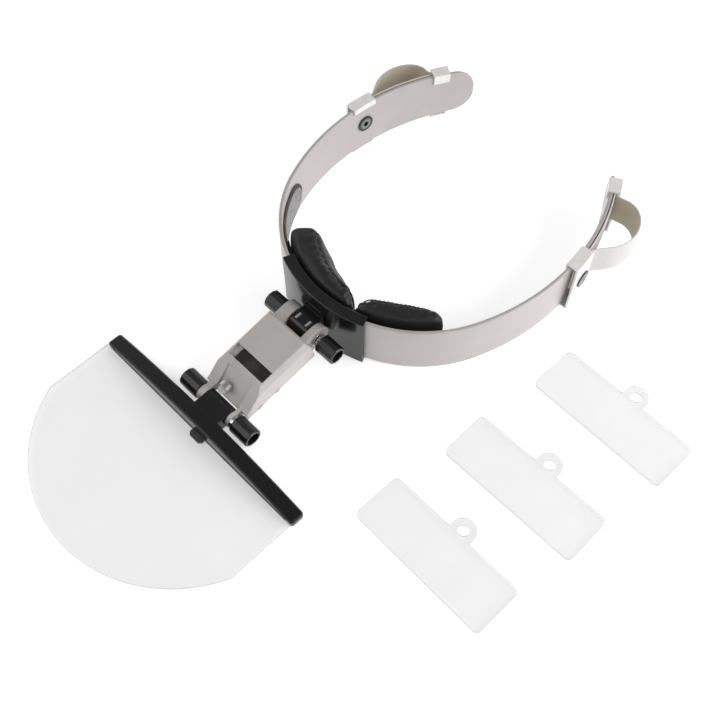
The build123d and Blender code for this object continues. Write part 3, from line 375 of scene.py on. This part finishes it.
def lens_clear(name, tint, veil, rim_veil):
    """Moulded lens: nearly clear faces with a faint grey veil, and a rim that shows more of it."""
    look = Look(name)
    facing = look.node("SeparateXYZ", {}, {0: look.node("TexCoord", {}, {}, "Normal")}).socket.node.outputs[2]
    side = 1 - Value(look, facing).size().step(0.55, 0.97)
    swirl = look.noise(30 * MM, 2.0)
    specks = look.noise(0.6 * MM, 2.0).step(0.74, 0.82)
    colour = look.mix(side, tint, grey(0.42))
    alpha = (side * (rim_veil - veil) + veil) * (swirl * 0.16 + 0.92) + specks * 0.02
    return look.finish(colour, 0.05 + swirl * 0.04, look.bump(swirl, 0.02 * MM), Alpha=alpha, IOR=1.49,
                       Specular_IOR_Level=0.5)


def lamp_glass():
    """Clear resin of the lamp: see-through in the middle, less so towards its outline."""
    look = Look("lamp_glass")
    outline = look.node("LayerWeight", {}, {"Blend": 0.45}, "Facing")
    swirl = look.noise(1.5 * MM, 2.0)
    return look.finish(look.mix(swirl, (0.80, 0.82, 0.84, 1), (0.92, 0.93, 0.94, 1)), 0.06 + swirl * 0.05,
                       look.bump(swirl, 0.02 * MM), Alpha=outline * 0.55 + 0.28, IOR=1.5)


def cell_jacket():
    """Sleeve of a cell: plain grey with one darker end band and shrink wrinkles."""
    look = Look("cell_jacket")
    back = look.node("SeparateXYZ", {}, {0: look.place}).socket.node.outputs[1]
    low, high = (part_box("cells")[i].y for i in (0, 1))
    band_from, band_to = 0.70, 0.71
    ring = Value(look, back).step(low + band_from * (high - low), low + band_to * (high - low))
    wrinkle = look.noise(0.8 * MM, 3.0)
    return look.finish(look.mix(ring, (0.24, 0.26, 0.29, 1), (0.05, 0.055, 0.06, 1)), 0.3 + wrinkle * 0.1,
                       look.bump(wrinkle, 0.02 * MM))


def board_green():
    """Bare circuit board: resin green with a glass weave under it."""
    look = Look("board_green")
    weave = look.noise(0.7 * MM, 3.0)
    return look.finish(look.mix(weave, (0.02, 0.10, 0.05, 1), (0.05, 0.17, 0.09, 1)), 0.35 + weave * 0.1,
                       look.bump(weave, 0.02 * MM))


# ---- surfaces -----------------------------------------------------------------------------------
def rail(s, inset):
    """Points at distances s round the headband's outside, inset towards the head: a wide arc across the
    forehead and a flatter arc along each temple, both offset by the inset."""
    s = np.asarray(s, float)
    ahead = np.abs(s) <= JOIN_S
    angle = np.where(ahead, s / FRONT_R, JOIN_A + (np.abs(s) - JOIN_S) / SIDE_R)
    x_front, y_front = (FRONT_R - inset) * np.sin(angle), FRONT_R - (FRONT_R - inset) * np.cos(angle)
    x_side = np.sign(s) * ((SIDE_R - inset) * np.cos(angle) - SIDE_CX)
    y_side = SIDE_CY + (SIDE_R - inset) * np.sin(angle)
    return np.stack([np.where(ahead, x_front, x_side), np.where(ahead, y_front, y_side)], -1)


def on_band(s, inset, z):
    """Rail points raised to height z."""
    s, inset, z = np.broadcast_arrays(s, inset, z)
    return np.concatenate([rail(s, inset), z[..., None]], -1)


def band_place(points):
    """The reverse of on_band over the forehead: distance round, inset and height of each point."""
    x, y, z = points[:, 0], points[:, 1] - FRONT_R, points[:, 2]
    return FRONT_R * np.arctan2(x, -y), FRONT_R - np.hypot(x, y), z


def rounded_loop(count, power):
    """Closed section in the unit square: a superellipse, squarer with a higher power."""
    t = np.arange(count) * TURN / count
    c, s = np.cos(t), np.sin(t)
    scale = (np.abs(c) ** power + np.abs(s) ** power) ** (-1 / power)
    return c * scale, s * scale


def add_mesh(name, points, faces, body, finish, uv=None):
    """Object from points and faces, turned the right way out by the sign of its volume."""
    corners = points[np.array([f[:3] for f in faces])]
    volume = np.einsum("ij,ij->i", corners[:, 0], np.cross(corners[:, 1], corners[:, 2])).sum()
    if volume < 0:
        faces = [f[::-1] for f in faces]
    mesh = bpy.data.meshes.new(name)
    mesh.from_pydata(points.tolist(), [], faces)
    mesh.polygons.foreach_set("use_smooth", np.ones(len(faces), bool))
    for layer, values in (uv or {}).items():
        made = mesh.uv_layers.new(name=layer)
        index = np.zeros(len(mesh.loops), int)
        mesh.loops.foreach_get("vertex_index", index)
        made.data.foreach_set("uv", values[index].astype(np.float32).ravel())
    mesh.validate()
    piece = bpy.data.objects.new(name, mesh)
    bpy.context.collection.objects.link(piece)
    mesh.materials.append(finish)
    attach(piece, body)
    return piece


def tube_faces(rings, around, start=0, closed=False):
    """Faces of rings of points joined one to the next; open tubes are shut with a fan at each end."""
    i = np.arange(rings if closed else rings - 1)[:, None]
    j = np.arange(around)[None, :]
    a, b = i * around + j, i * around + (j + 1) % around
    c, d = ((i + 1) % rings) * around + (j + 1) % around, ((i + 1) % rings) * around + j
    faces = (np.stack([a, b, c, d], -1).reshape(-1, 4) + start).tolist()
    if not closed:
        first, last = start + rings * around, start + rings * around + 1
        top = start + (rings - 1) * around
        faces += [[first, start + (k + 1) % around, start + k] for k in range(around)]
        faces += [[last, top + k, top + (k + 1) % around] for k in range(around)]
    return faces


def shut(rings):
    """Ring points as one list, with the middle of the first and last ring added for the end fans."""
    flat = rings.reshape(-1, rings.shape[-1])
    return np.concatenate([flat, rings[0].mean(0)[None], rings[-1].mean(0)[None]])


def belt(centre, low, high, thick, around, power):
    """Flat belt stood on edge: a rounded section carried along the centre line, from low to high.

    Each ring is centre + normal * thick/2 * b + height * a, with (a, b) round a superellipse.
    """
    run = np.gradient(centre, axis=0)
    run /= np.linalg.norm(run, axis=1)[:, None]
    normal = np.stack([run[:, 1], -run[:, 0]], -1)
    a, b = rounded_loop(around, power)
    low, high, thick = (np.broadcast_to(v, len(centre))[:, None] for v in (low, high, thick))
    plan = centre[:, None, :] + normal[:, None, :] * (b * thick / 2)[..., None]
    height = (low + high) / 2 + a * (high - low) / 2
    return np.concatenate([plan, height[..., None]], -1)


def smooth_curve(points, first, last, count):
    """Cubic spline through the points, parameter by chord length, with both end directions given.

    The slopes at the points solve the usual tridiagonal system; each stretch is a Hermite cubic.
    """
    points = np.asarray(points, float)
    chord = np.linalg.norm(np.diff(points, axis=0), axis=1)
    t = np.concatenate([[0], np.cumsum(chord)])
    n = len(points)
    system, right = np.eye(n), np.zeros_like(points)
    right[0], right[-1] = first, last
    for k in range(1, n - 1):
        before, after = chord[k - 1], chord[k]
        system[k, k - 1:k + 2] = after, 2 * (before + after), before
        rise, next_rise = points[k] - points[k - 1], points[k + 1] - points[k]
        right[k] = 3 * (after * rise / before + before * next_rise / after)
    slope = np.linalg.solve(system, right)
    at = np.linspace(0, t[-1], count)
    k = np.clip(np.searchsorted(t, at, "right") - 1, 0, n - 2)
    w = ((at - t[k]) / chord[k])[:, None]
    h = chord[k][:, None]
    return ((2 * w ** 3 - 3 * w ** 2 + 1) * points[k] + (w ** 3 - 2 * w ** 2 + w) * h * slope[k]
            + (3 * w ** 2 - 2 * w ** 3) * points[k + 1] + (w ** 3 - w ** 2) * h * slope[k + 1])


def cord_rings(path, radius, around=10):
    """Round tube of that radius along a closed path, each ring square to the path's direction."""
    run = np.roll(path, -1, 0) - np.roll(path, 1, 0)
    run /= np.linalg.norm(run, axis=1)[:, None]
    slanted = [0.31, 0.17, 0.93]
    side = np.cross(run, slanted)
    side /= np.linalg.norm(side, axis=1)[:, None]
    other = np.cross(run, side)
    t = np.arange(around) * TURN / around
    return path[:, None] + radius * (side[:, None] * np.cos(t)[:, None] + other[:, None] * np.sin(t)[:, None])


def stitch_row(name, path, outward, finish):
    """Row of sewn stitches round a closed path: short tapered lengths of thread that bow out of the surface.

    Each stitch is a few rings whose radius and lift follow half a sine along its length.
    """
    length, gap, radius = 1.7 * MM, 0.9 * MM, 0.16 * MM
    rings_each, around = 5, 6
    ends = np.vstack([path, path[:1]])
    reach = np.concatenate([[0], np.cumsum(np.linalg.norm(np.diff(ends, axis=0), axis=1))])
    normals = np.vstack([outward, outward[:1]])
    count = int(reach[-1] / (length + gap))
    share = np.linspace(0, 1, rings_each)
    at = (np.arange(count)[:, None] + 0.5 * gap / (length + gap)) * reach[-1] / count + share * length
    middle = np.stack([np.interp(at, reach, ends[:, k]) for k in range(3)], -1)
    up = np.stack([np.interp(at, reach, normals[:, k]) for k in range(3)], -1)
    up /= np.linalg.norm(up, axis=-1)[..., None]
    run = np.gradient(middle, axis=1)
    run /= np.linalg.norm(run, axis=-1)[..., None]
    side = np.cross(run, up)
    bow = np.sin(np.pi * share)[None, :, None]
    middle = middle + up * radius * (bow * 1.1 - 0.5)
    t = np.arange(around) * TURN / around
    girth = radius * (0.35 + 0.65 * bow[..., None])
    spoke = side[:, :, None] * np.cos(t)[:, None] + up[:, :, None] * np.sin(t)[:, None]
    rings = middle[:, :, None] + girth * spoke
    points, faces = [], []
    for k in range(count):
        faces += tube_faces(rings_each, around, start=k * (rings_each * around + 2))
        points.append(shut(rings[k]))
    add_mesh(name, np.concatenate(points), faces, "headband", finish)


# ---- forehead cushions --------------------------------------------------------------------------
def puff_shape(side, d):
    """Thickness and height of a cushion at distance d from the pinch."""
    along, thick, tall = np.array(PUFF[side]).T
    return (np.interp(d / PAD_LEN[side], along, thick) * PAD_T[side],
            np.interp(d / PAD_LEN[side], along, tall) * (PAD_HIGH - PAD_LOW))


def cushion_cover(side, sign):
    """Slack cover of one cushion: squarish sections across the band, from the pinch to the outer end.

    At distance d from the pinch the section is as deep and as tall as puff_shape says, less the slack;
    its flat back lies on the backing panel.
    """
    d = np.linspace(PUFF[side][0][0], PUFF[side][-1][0], 70) * PAD_LEN[side]
    thick, tall = puff_shape(side, d)
    a, b = rounded_loop(72, 4.0)
    inset = PAD_BACK + PAD_LOOSE * 0.3 + (thick - PAD_LOOSE)[:, None] * (1 + a) / 2
    z = PAD_MID + (tall - PAD_LOOSE)[:, None] * b / 2
    return on_band(PINCH_S + sign * d[:, None], inset, z)


def mesh_points(mesh):
    """The mesh's points as rows."""
    flat = np.empty(len(mesh.vertices) * 3, np.float32)
    mesh.vertices.foreach_get("co", flat)
    return flat.reshape(-1, 3).astype(float)


def mesh_normals(mesh):
    """The mesh's outward direction at each point."""
    flat = np.empty(len(mesh.vertices) * 3, np.float32)
    mesh.vertex_normals.foreach_get("vector", flat)
    return flat.reshape(-1, 3).astype(float)


def set_points(mesh, points):
    """Puts those rows back as the mesh's points."""
    mesh.vertices.foreach_set("co", points.astype(np.float32).ravel())
    mesh.update()


def settle(piece):
    """Takes the piece's live modifiers into its mesh."""
    shown = piece.evaluated_get(bpy.context.evaluated_depsgraph_get())
    mesh = bpy.data.meshes.new_from_object(shown)
    piece.modifiers.clear()
    piece.data = mesh


def stuff(piece, pressure=4.0, most=2.2 * MM, frames=20):
    """Swells the cover by cloth pressure with no gravity; no point moves further than most."""
    start = mesh_points(piece.data)
    cloth = piece.modifiers.new("stuffing", "CLOTH")
    cloth.settings.quality = 6
    cloth.settings.mass = 0.25
    cloth.settings.use_pressure = True
    cloth.settings.uniform_pressure_force = pressure
    cloth.settings.effector_weights.gravity = 0
    cloth.settings.bending_stiffness = 0.4
    for step in range(1, frames + 1):
        bpy.context.scene.frame_set(step)
    settle(piece)
    bpy.context.scene.frame_set(1)
    move = mesh_points(piece.data) - start
    far = np.linalg.norm(move, axis=1)[:, None]
    set_points(piece.data, start + move * np.minimum(1, most / np.maximum(far, 1e-9)))


def waves(points, length, count, seed):
    """Sum of sine waves in random directions: an even, rounded unevenness from -1 to 1."""
    chance = np.random.default_rng(seed)
    way = chance.normal(size=(count, 3))
    way *= (TURN / length / np.linalg.norm(way, axis=1) * chance.uniform(0.7, 1.4, count))[:, None]
    return np.sin(points @ way.T + chance.uniform(0, TURN, count)).mean(1) * 1.8


def seam_line(side, sign, points, normals, count=280):
    """Closed seam round the face that meets the forehead, laid on the stuffed cover.

    A superellipse in distance and height at four fifths of the local depth, moved to the nearest points
    of the cover and evened out.
    """
    a, b = rounded_loop(count, 4.5)
    d = (0.5 + 0.465 * a) * PAD_LEN[side]
    thick, tall = puff_shape(side, d)
    aim = on_band(PINCH_S + sign * d, PAD_BACK + thick * 0.84, PAD_MID + b * tall * 0.5)
    near = ((aim[:, None] - points[None, ::3]) ** 2).sum(-1).argmin(1) * 3
    line, out = points[near], normals[near]
    for _ in range(6):
        line = (np.roll(line, 1, 0) + 2 * line + np.roll(line, -1, 0)) / 4
        out = (np.roll(out, 1, 0) + 2 * out + np.roll(out, -1, 0)) / 4
    return line, out / np.linalg.norm(out, axis=1)[:, None]


def distance_to(line, points):
    """How far each point is from a line of points, and which of them is nearest."""
    far, which = np.empty(len(points)), np.empty(len(points), int)
    for k in range(0, len(points), 8000):
        gap = ((points[k:k + 8000, None] - line[None]) ** 2).sum(-1)
        which[k:k + 8000] = gap.argmin(1)
        far[k:k + 8000] = np.sqrt(gap.min(1))
    return far, which


def crease(side, sign, seed, mesh, line):
    """Works the stuffed cover: slow dents, folds that fan out of the pinch, and gathers along the seam.

    Every point moves along its normal. The dents and cross folds are sums of sine waves; the fan is a
    squared sine of the angle round the section; both folds fade with distance from the pinch. The gathers
    are a sine along the seam that fades away from it, and the seam itself lies in a narrow groove. The
    flat back is left as it is.
    """
    dent_depth, fan_depth, cross_depth = 0.55 * MM, 1.5 * MM, 0.8 * MM
    gather_depth, seam_depth = 0.30 * MM, 0.55 * MM
    gather_reach, seam_reach = 4.5 * MM, 1.3 * MM
    gathers_round, uneven_beats = 34, 40
    points, normals = mesh_points(mesh), mesh_normals(mesh)
    s, inset, z = band_place(points)
    d = np.maximum((s - PINCH_S) * sign, 0)
    round_section = np.arctan2(z - PAD_MID, inset - PAD_BACK - PAD_T[side] * 0.35)
    dents = waves(points, 22 * MM, 9, seed) * dent_depth
    turn = round_section * 6 + 1.7 * waves(points, 16 * MM, 5, seed + 1) + seed
    folds = -(0.5 + 0.5 * np.sin(turn)) ** 2 * np.exp(-d / (11 * MM)) * fan_depth
    cross = waves(points * [1, 1, 2.2], 7.5 * MM, 7, seed + 2)
    folds -= np.maximum(cross - 0.25, 0) * np.exp(-(d / (30 * MM)) ** 2) * cross_depth
    far, which = distance_to(line, points)
    beat = np.random.default_rng(seed + 3).uniform(-1.2, 1.2, uneven_beats)
    swing = np.interp(which / len(line) * uneven_beats, np.arange(uneven_beats), beat)
    pleats = np.sin(which / len(line) * TURN * gathers_round + swing * 2)
    gathers = pleats * np.exp(-(far / gather_reach) ** 2)
    sunk = -seam_depth * np.exp(-(far / seam_reach) ** 2)
    front = np.clip((inset - PAD_BACK - 1.5 * MM) / (4 * MM), 0, 1)
    moved = points + normals * ((dents + folds + gathers * gather_depth) * front + sunk)[:, None]
    s, inset, z = band_place(moved)
    inset = np.maximum(inset, PAD_BACK - 0.2 * MM)
    set_points(mesh, on_band(s, inset, np.clip(z, PAD_LOW - 0.6 * MM, PAD_HIGH + 0.8 * MM)))


def cushion(side, sign, seed, leather, sewing):
    """One stuffed cushion with its welted seam and stitches."""
    welt_radius, stitch_in = 0.42 * MM, 1.6 * MM
    rings = cushion_cover(side, sign)
    faces = tube_faces(*rings.shape[:2])
    piece = add_mesh(f"cushion_{side}", shut(rings), faces, "headband", leather)
    even = piece.modifiers.new("even", "REMESH")
    even.mode = "VOXEL"
    even.voxel_size = 1.7 * MM
    settle(piece)
    stuff(piece)
    finer = piece.modifiers.new("finer", "SUBSURF")
    finer.levels = finer.render_levels = 2
    settle(piece)
    piece.data.polygons.foreach_set("use_smooth", np.ones(len(piece.data.polygons), bool))
    line, out = seam_line(side, sign, mesh_points(piece.data), mesh_normals(piece.data))
    crease(side, sign, seed, piece.data, line)
    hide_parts(f"pad_{side}")
    welt = cord_rings(line - out * 0.25 * MM, welt_radius)
    welt_faces = tube_faces(*welt.shape[:2], closed=True)
    add_mesh(f"cushion_welt_{side}", welt.reshape(-1, 3), welt_faces, "headband", leather)
    inner = line + out * 0.02 * MM
    middle = inner.mean(0)
    step_in = middle - inner
    step_in -= (step_in * out).sum(1)[:, None] * out
    step_in /= np.linalg.norm(step_in, axis=1)[:, None]
    stitch_row(f"cushion_stitches_{side}", inner + step_in * stitch_in - out * 0.12 * MM, out, sewing)


def backing_panel(leather, sewing):
    """Panel that both cushions are sewn to, its ends rounded, with a sewn row all round its edge."""
    first, last = PINCH_S - PAD_LEN["right"] + WEB_IN, PINCH_S + PAD_LEN["left"] - WEB_IN
    centre, reach = (first + last) / 2, (last - first) / 2
    s = np.linspace(first, last, 160)
    half = (WEB_HIGH.z - WEB_LOW.z) / 2
    mid = (WEB_HIGH.z + WEB_LOW.z) / 2
    into = np.clip((np.abs(s - centre) - (reach - WEB_CORNER)) / WEB_CORNER, 0, 0.999)
    tall = half - WEB_CORNER * (1 - np.sqrt(1 - into ** 2))
    rings = belt(rail(s, sum(WEB_INSET) / 2), mid - tall, mid + tall, WEB_INSET[1] - WEB_INSET[0], 48, 9.0)
    faces = tube_faces(*rings.shape[:2])
    panel = add_mesh("backing_panel", shut(rings), faces, "headband", leather)
    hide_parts("pad_web")
    a, b = rounded_loop(220, 8.0)
    s = centre + a * (reach - WEB_SEW)
    row = on_band(s, WEB_INSET[1] + 0.02 * MM, mid + b * (half - WEB_SEW))
    out = on_band(s, WEB_INSET[1] + 1 * MM, mid + b * (half - WEB_SEW)) - row
    stitch_row("panel_stitches", row, out, sewing)


def hook_strip():
    """Two layers of the fastener: a round-ended black strip, and the grey nap laid on it.

    Both are belts along the band whose height falls off as a circle at each end; the nap's face is raised
    and dropped by a fixed random amount at each point.
    """
    black = hook_cloth("hook_black", 0.035, 0.5 * MM, 0.12 * MM)
    nap = hook_cloth("hook_nap", 0.30, 0.42 * MM, 0.2 * MM)
    layers = [("hook_strip", "hook_backing", "hook_black", HOOK_INSET, 0.0, black, 0.0),
              ("hook_pile", "hook_face", "hook_grey", PILE_INSET, PILE_MARGIN, nap, PILE_FUZZ)]
    for name, node, slot, inset, margin, finish, fuzz in layers:
        half = (HOOK_HIGH.z - HOOK_LOW.z) / 2 - margin
        reach = HOOK_REACH - margin
        end = half * (1 - np.cos(np.linspace(0.02, math.pi / 2, 40)))
        straight = np.linspace(half - reach, reach - half, 360)[1:-1]
        d = np.concatenate([-reach + end, straight, reach - end[::-1]])
        into = np.clip((np.abs(d) - (reach - half)) / half, 0, 1)
        tall = half * np.sqrt(np.maximum(1 - into ** 2, 1e-4))
        mid = (HOOK_HIGH.z + HOOK_LOW.z) / 2 + d * math.tan(HOOK_TILT)
        path = rail(HOOK_MID + d, sum(inset) / 2)
        rings = belt(path, mid - tall, mid + tall, inset[1] - inset[0], 96, 12.0)
        push = np.random.default_rng(7).uniform(-0.4, 1, rings.shape[:2]) * fuzz
        inward = rail(HOOK_MID + d, 1.0) - rail(HOOK_MID + d, 0.0)
        from_middle = rings[..., :2] - rings[..., :2].mean(1, keepdims=True)
        towards_head = (from_middle * inward[:, None]).sum(-1) > 0
        rings[..., :2] += inward[:, None] * (push * towards_head)[..., None]
        strip = add_mesh(name, shut(rings), tube_faces(*rings.shape[:2]), "headband", finish)
        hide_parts(node)


# ---- side straps --------------------------------------------------------------------------------
def strap_paths(side, sign):
    """Centre lines of one strap: the run that lies on the band, and the run that bellies out into a loop."""
    near = -(STRAP_NEAR + STRAP_T / 2)
    far = near - STRAP_T - STRAP_PLY
    first_s, last_s = STRAP_RUN[side]
    loop_s, end_s = LOOP_RUN[side]
    inner = rail(sign * np.linspace(first_s, last_s, 90), near)
    belly = [rail(sign * (loop_s + share * (end_s - loop_s)), far - out * LOOP_OUT[side])
             for share, out in LOOP_SHARES]
    first = rail(sign * (loop_s + 1 * MM), far) - rail(sign * loop_s, far)
    last = rail(sign * end_s, far) - rail(sign * (end_s - 1 * MM), far)
    away = [rail(sign * s, far - 1 * MM) - rail(sign * s, far) for s in (loop_s, end_s)]
    leaves, comes_back = first * 0.9 + away[0] * 0.44, last * 0.6 - away[1] * 0.8
    loop = smooth_curve(belly, leaves / MM, comes_back / MM, 150)
    root = rail(sign * np.linspace(first_s, loop_s - 0.8 * MM, 22), far)
    tail = rail(sign * np.linspace(end_s + 0.8 * MM, last_s, 14), far)
    outer = np.concatenate([root, loop, tail])
    for _ in range(3):
        outer[1:-1] = (outer[:-2] + 2 * outer[1:-1] + outer[2:]) / 4
    return [inner, outer]


def strap(side, sign, web):
    """Elastic strap: both runs as one piece, with thicker selvedges and a buff lining towards the head."""
    around, squareness = 56, 6.0
    a, b = rounded_loop(around, squareness)
    points, faces, weave, lining, start = [], [], [], [], 0
    for path in strap_paths(side, sign):
        rings = belt(path, STRAP_LOW.z, STRAP_HIGH.z, STRAP_T, around, squareness)
        flesh = 1 - 0.16 * np.exp(-((np.abs(a) - 0.80) / 0.05) ** 2) * (np.abs(b) > 0.5)
        centre = np.concatenate([np.repeat(path[:, None], around, 1), rings[..., 2:]], -1)
        rings = centre + (rings - centre) * flesh[None, :, None]
        along = np.concatenate([[0], np.cumsum(np.linalg.norm(np.diff(path, axis=0), axis=1))])
        across = (a + 1) / 2 * (STRAP_HIGH.z - STRAP_LOW.z)
        head_side = (b * sign < -0.3).astype(float)
        grid = np.stack(np.broadcast_arrays(along[:, None], across[None, :]), -1)
        side_map = np.stack(np.broadcast_arrays(head_side[None, :], along[:, None]), -1)
        points.append(shut(rings))
        weave.append(shut(grid))
        lining.append(shut(side_map))
        faces += tube_faces(len(path), around, start)
        start += len(points[-1])
    uv = {"weave": np.concatenate(weave), "lining": np.concatenate(lining)}
    piece = add_mesh(f"elastic_{side}", np.concatenate(points), faces, "headband", web, uv)
    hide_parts(f"strap_{side}")


# ---- inside the lamp ----------------------------------------------------------------------------
def lamp_point(s, x, v):
    """Point s along the arm from the band hinge, x across it and v above its line."""
    return np.array(HINGE + LAMP_FWD * s + LAMP_UP * v + Vector((x, 0, 0)))


def turned(name, start, profile, finish, around):
    """Body of revolution about the lamp's axis: profile is (distance along, radius) from back to front."""
    profile = np.array(profile) * MM
    t = np.arange(around) * TURN / around
    fwd, up, side = np.array(LAMP_FWD), np.array(LAMP_UP), np.array([1.0, 0, 0])
    rings = (start + fwd * profile[:, None, :1]
             + profile[:, None, 1:] * (side * np.cos(t)[:, None] + up * np.sin(t)[:, None]))
    add_mesh(name, shut(rings), tube_faces(*rings.shape[:2]), "arm", finish)


def lamp_inside(metal):
    """Reflector cup on its post and the second post, cast inside the clear lamp."""
    low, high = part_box("led")
    middle = (low + high) / 2
    back = (Vector(middle) - HINGE).dot(LAMP_FWD) - 3.6 * MM
    cup = [(0, 0.30), (2.2, 0.30), (2.6, 0.95), (3.6, 1.15), (3.7, 1.0), (3.0, 0.45), (3.0, 0.02)]
    turned("lamp_cup", lamp_point(back, LED_X - 0.45 * MM, LED_V), cup, metal, 24)
    post = [(0, 0.30), (3.1, 0.30), (3.4, 0.22), (3.5, 0.05)]
    turned("lamp_post", lamp_point(back, LED_X + 1.25 * MM, LED_V), post, metal, 12)


# ---- the object ---------------------------------------------------------------------------------
def paint(finishes):
    """Gives every CAD node that stays its own finish."""
    for finish, nodes in finishes:
        for name in nodes:
            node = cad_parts[name]
            for place in node.material_slots:
                place.material = finish


SPARES = [f"spare_lens_{number}" for number in (1, 2, 3)]
METAL = turned_metal("bright_metal", 0.72, 0.12, 0.35)
paint([
    (band_grey(), ["headband"]),
    (lamp_grey(), ["housing", "battery_cover"]),
    (gloss_black(), ["front_clip", "lens_bar", "bar_plate", "lens_catch"]),
    (knob_black(), ["band_knob_left", "band_knob_right", "visor_knob_left", "visor_knob_right",
                    "switch_body"]),
    (rubbed_slider(), ["switch_slider"]),
    (METAL, ["boss_inserts", "band_bolt", "band_spring", "visor_bolt", "visor_washers", "led_ring",
             "rear_contacts", "front_contact", "bar_screws"]),
    (rivet_rings("left", 1), ["rivet_left"]),
    (rivet_rings("right", -1), ["rivet_right"]),
    (cloudy_clear(), ["guide_sleeve_left", "guide_sleeve_right", "tip_clip_left", "tip_clip_right"]),
    (lens_clear("visor_lens", grey(0.30), 0.165, 0.50), ["main_lens"]),
    (lens_clear("spare_lens", grey(0.36), 0.18, 0.44), SPARES),
    (lamp_glass(), ["led"]),
    (cell_jacket(), ["cells"]),
    (board_green(), ["lamp_board"]),
])
LEATHER = cushion_leather()
BLACK_THREAD = thread("black_thread", 0.02)
cushion("left", 1, 11, LEATHER, BLACK_THREAD)
cushion("right", -1, 23, LEATHER, BLACK_THREAD)
backing_panel(LEATHER, BLACK_THREAD)
hook_strip()
WEB = strap_web()
strap("left", 1, WEB)
strap("right", -1, WEB)
lamp_inside(METAL)


# ---- studio -------------------------------------------------------------------------------------
def floor():
    """Plain white sweep under everything, lit a little from below like a light table."""
    look = Look("floor_white")
    paper = look.noise(60 * MM, 2.0)
    white = look.mix(paper, (0.93, 0.93, 0.93, 1), (0.96, 0.96, 0.96, 1))
    half, drop = 4.0, -0.3 * MM
    corners = [(-half, -half, drop), (half, -half, drop), (half, half, drop), (-half, half, drop)]
    mesh = bpy.data.meshes.new("floor")
    mesh.from_pydata(corners, [], [(0, 1, 2, 3)])
    mesh.materials.append(look.finish(white, 0.9, Emission_Color=(1, 1, 1, 1), Emission_Strength=0.52))
    piece = bpy.data.objects.new("floor", mesh)
    bpy.context.collection.objects.link(piece)


def surroundings():
    """White studio: bright towards the horizon, dimmer overhead."""
    world = bpy.data.worlds.new("studio")
    world.use_nodes = True
    nodes, links = world.node_tree.nodes, world.node_tree.links
    nodes.clear()
    place = nodes.new("ShaderNodeTexCoord")
    split = nodes.new("ShaderNodeSeparateXYZ")
    height = nodes.new("ShaderNodeMapRange")
    light, end = nodes.new("ShaderNodeBackground"), nodes.new("ShaderNodeOutputWorld")
    height.inputs["From Min"].default_value = 0.15
    height.inputs["From Max"].default_value = 0.95
    height.inputs["To Min"].default_value = 0.92
    height.inputs["To Max"].default_value = 0.34
    links.new(place.outputs["Generated"], split.inputs[0])
    links.new(split.outputs["Z"], height.inputs["Value"])
    links.new(height.outputs[0], light.inputs["Strength"])
    links.new(light.outputs[0], end.inputs[0])
    bpy.context.scene.world = world


def soft_light(name, place, aim, size, power):
    """Square area light that faces its aim."""
    data = bpy.data.lights.new(name, "AREA")
    data.size = size
    data.energy = power
    lamp = bpy.data.objects.new(name, data)
    bpy.context.collection.objects.link(lamp)
    lamp.location = place
    lamp.rotation_euler = (Vector(aim) - Vector(place)).to_track_quat("-Z", "Y").to_euler()


def camera(azimuth, elevation, roll, distance, target, lens):
    """Camera that looks at the target from that direction, turned about its own axis by roll."""
    a, e, r = (math.radians(v) for v in (azimuth, elevation, roll))
    back = Vector((math.sin(a) * math.cos(e), -math.cos(a) * math.cos(e), math.sin(e)))
    right = Vector((math.cos(a), math.sin(a), 0))
    right = right * math.cos(r) + back.cross(right) * math.sin(r)
    turn = Matrix((right, back.cross(right), back)).transposed()
    data = bpy.data.cameras.new("camera")
    data.lens = lens
    data.clip_start = 0.01
    eye = bpy.data.objects.new("camera", data)
    bpy.context.collection.objects.link(eye)
    eye.matrix_world = Matrix.Translation(Vector(target) + back * distance) @ turn.to_4x4()
    bpy.context.scene.camera = eye


floor()
surroundings()
soft_light("key", (0.9, 0.55, 0.55), (0, 0.05, 0.02), 0.8, 9.0)
soft_light("fill", (-0.7, -0.9, 0.8), (0, 0, 0), 1.0, 4.0)
camera(44.6, 59.4, 0.9, 0.6455, (0.0330, 0.0043, 0.0), 51.47)
bpy.context.scene.view_settings.view_transform = "Standard"
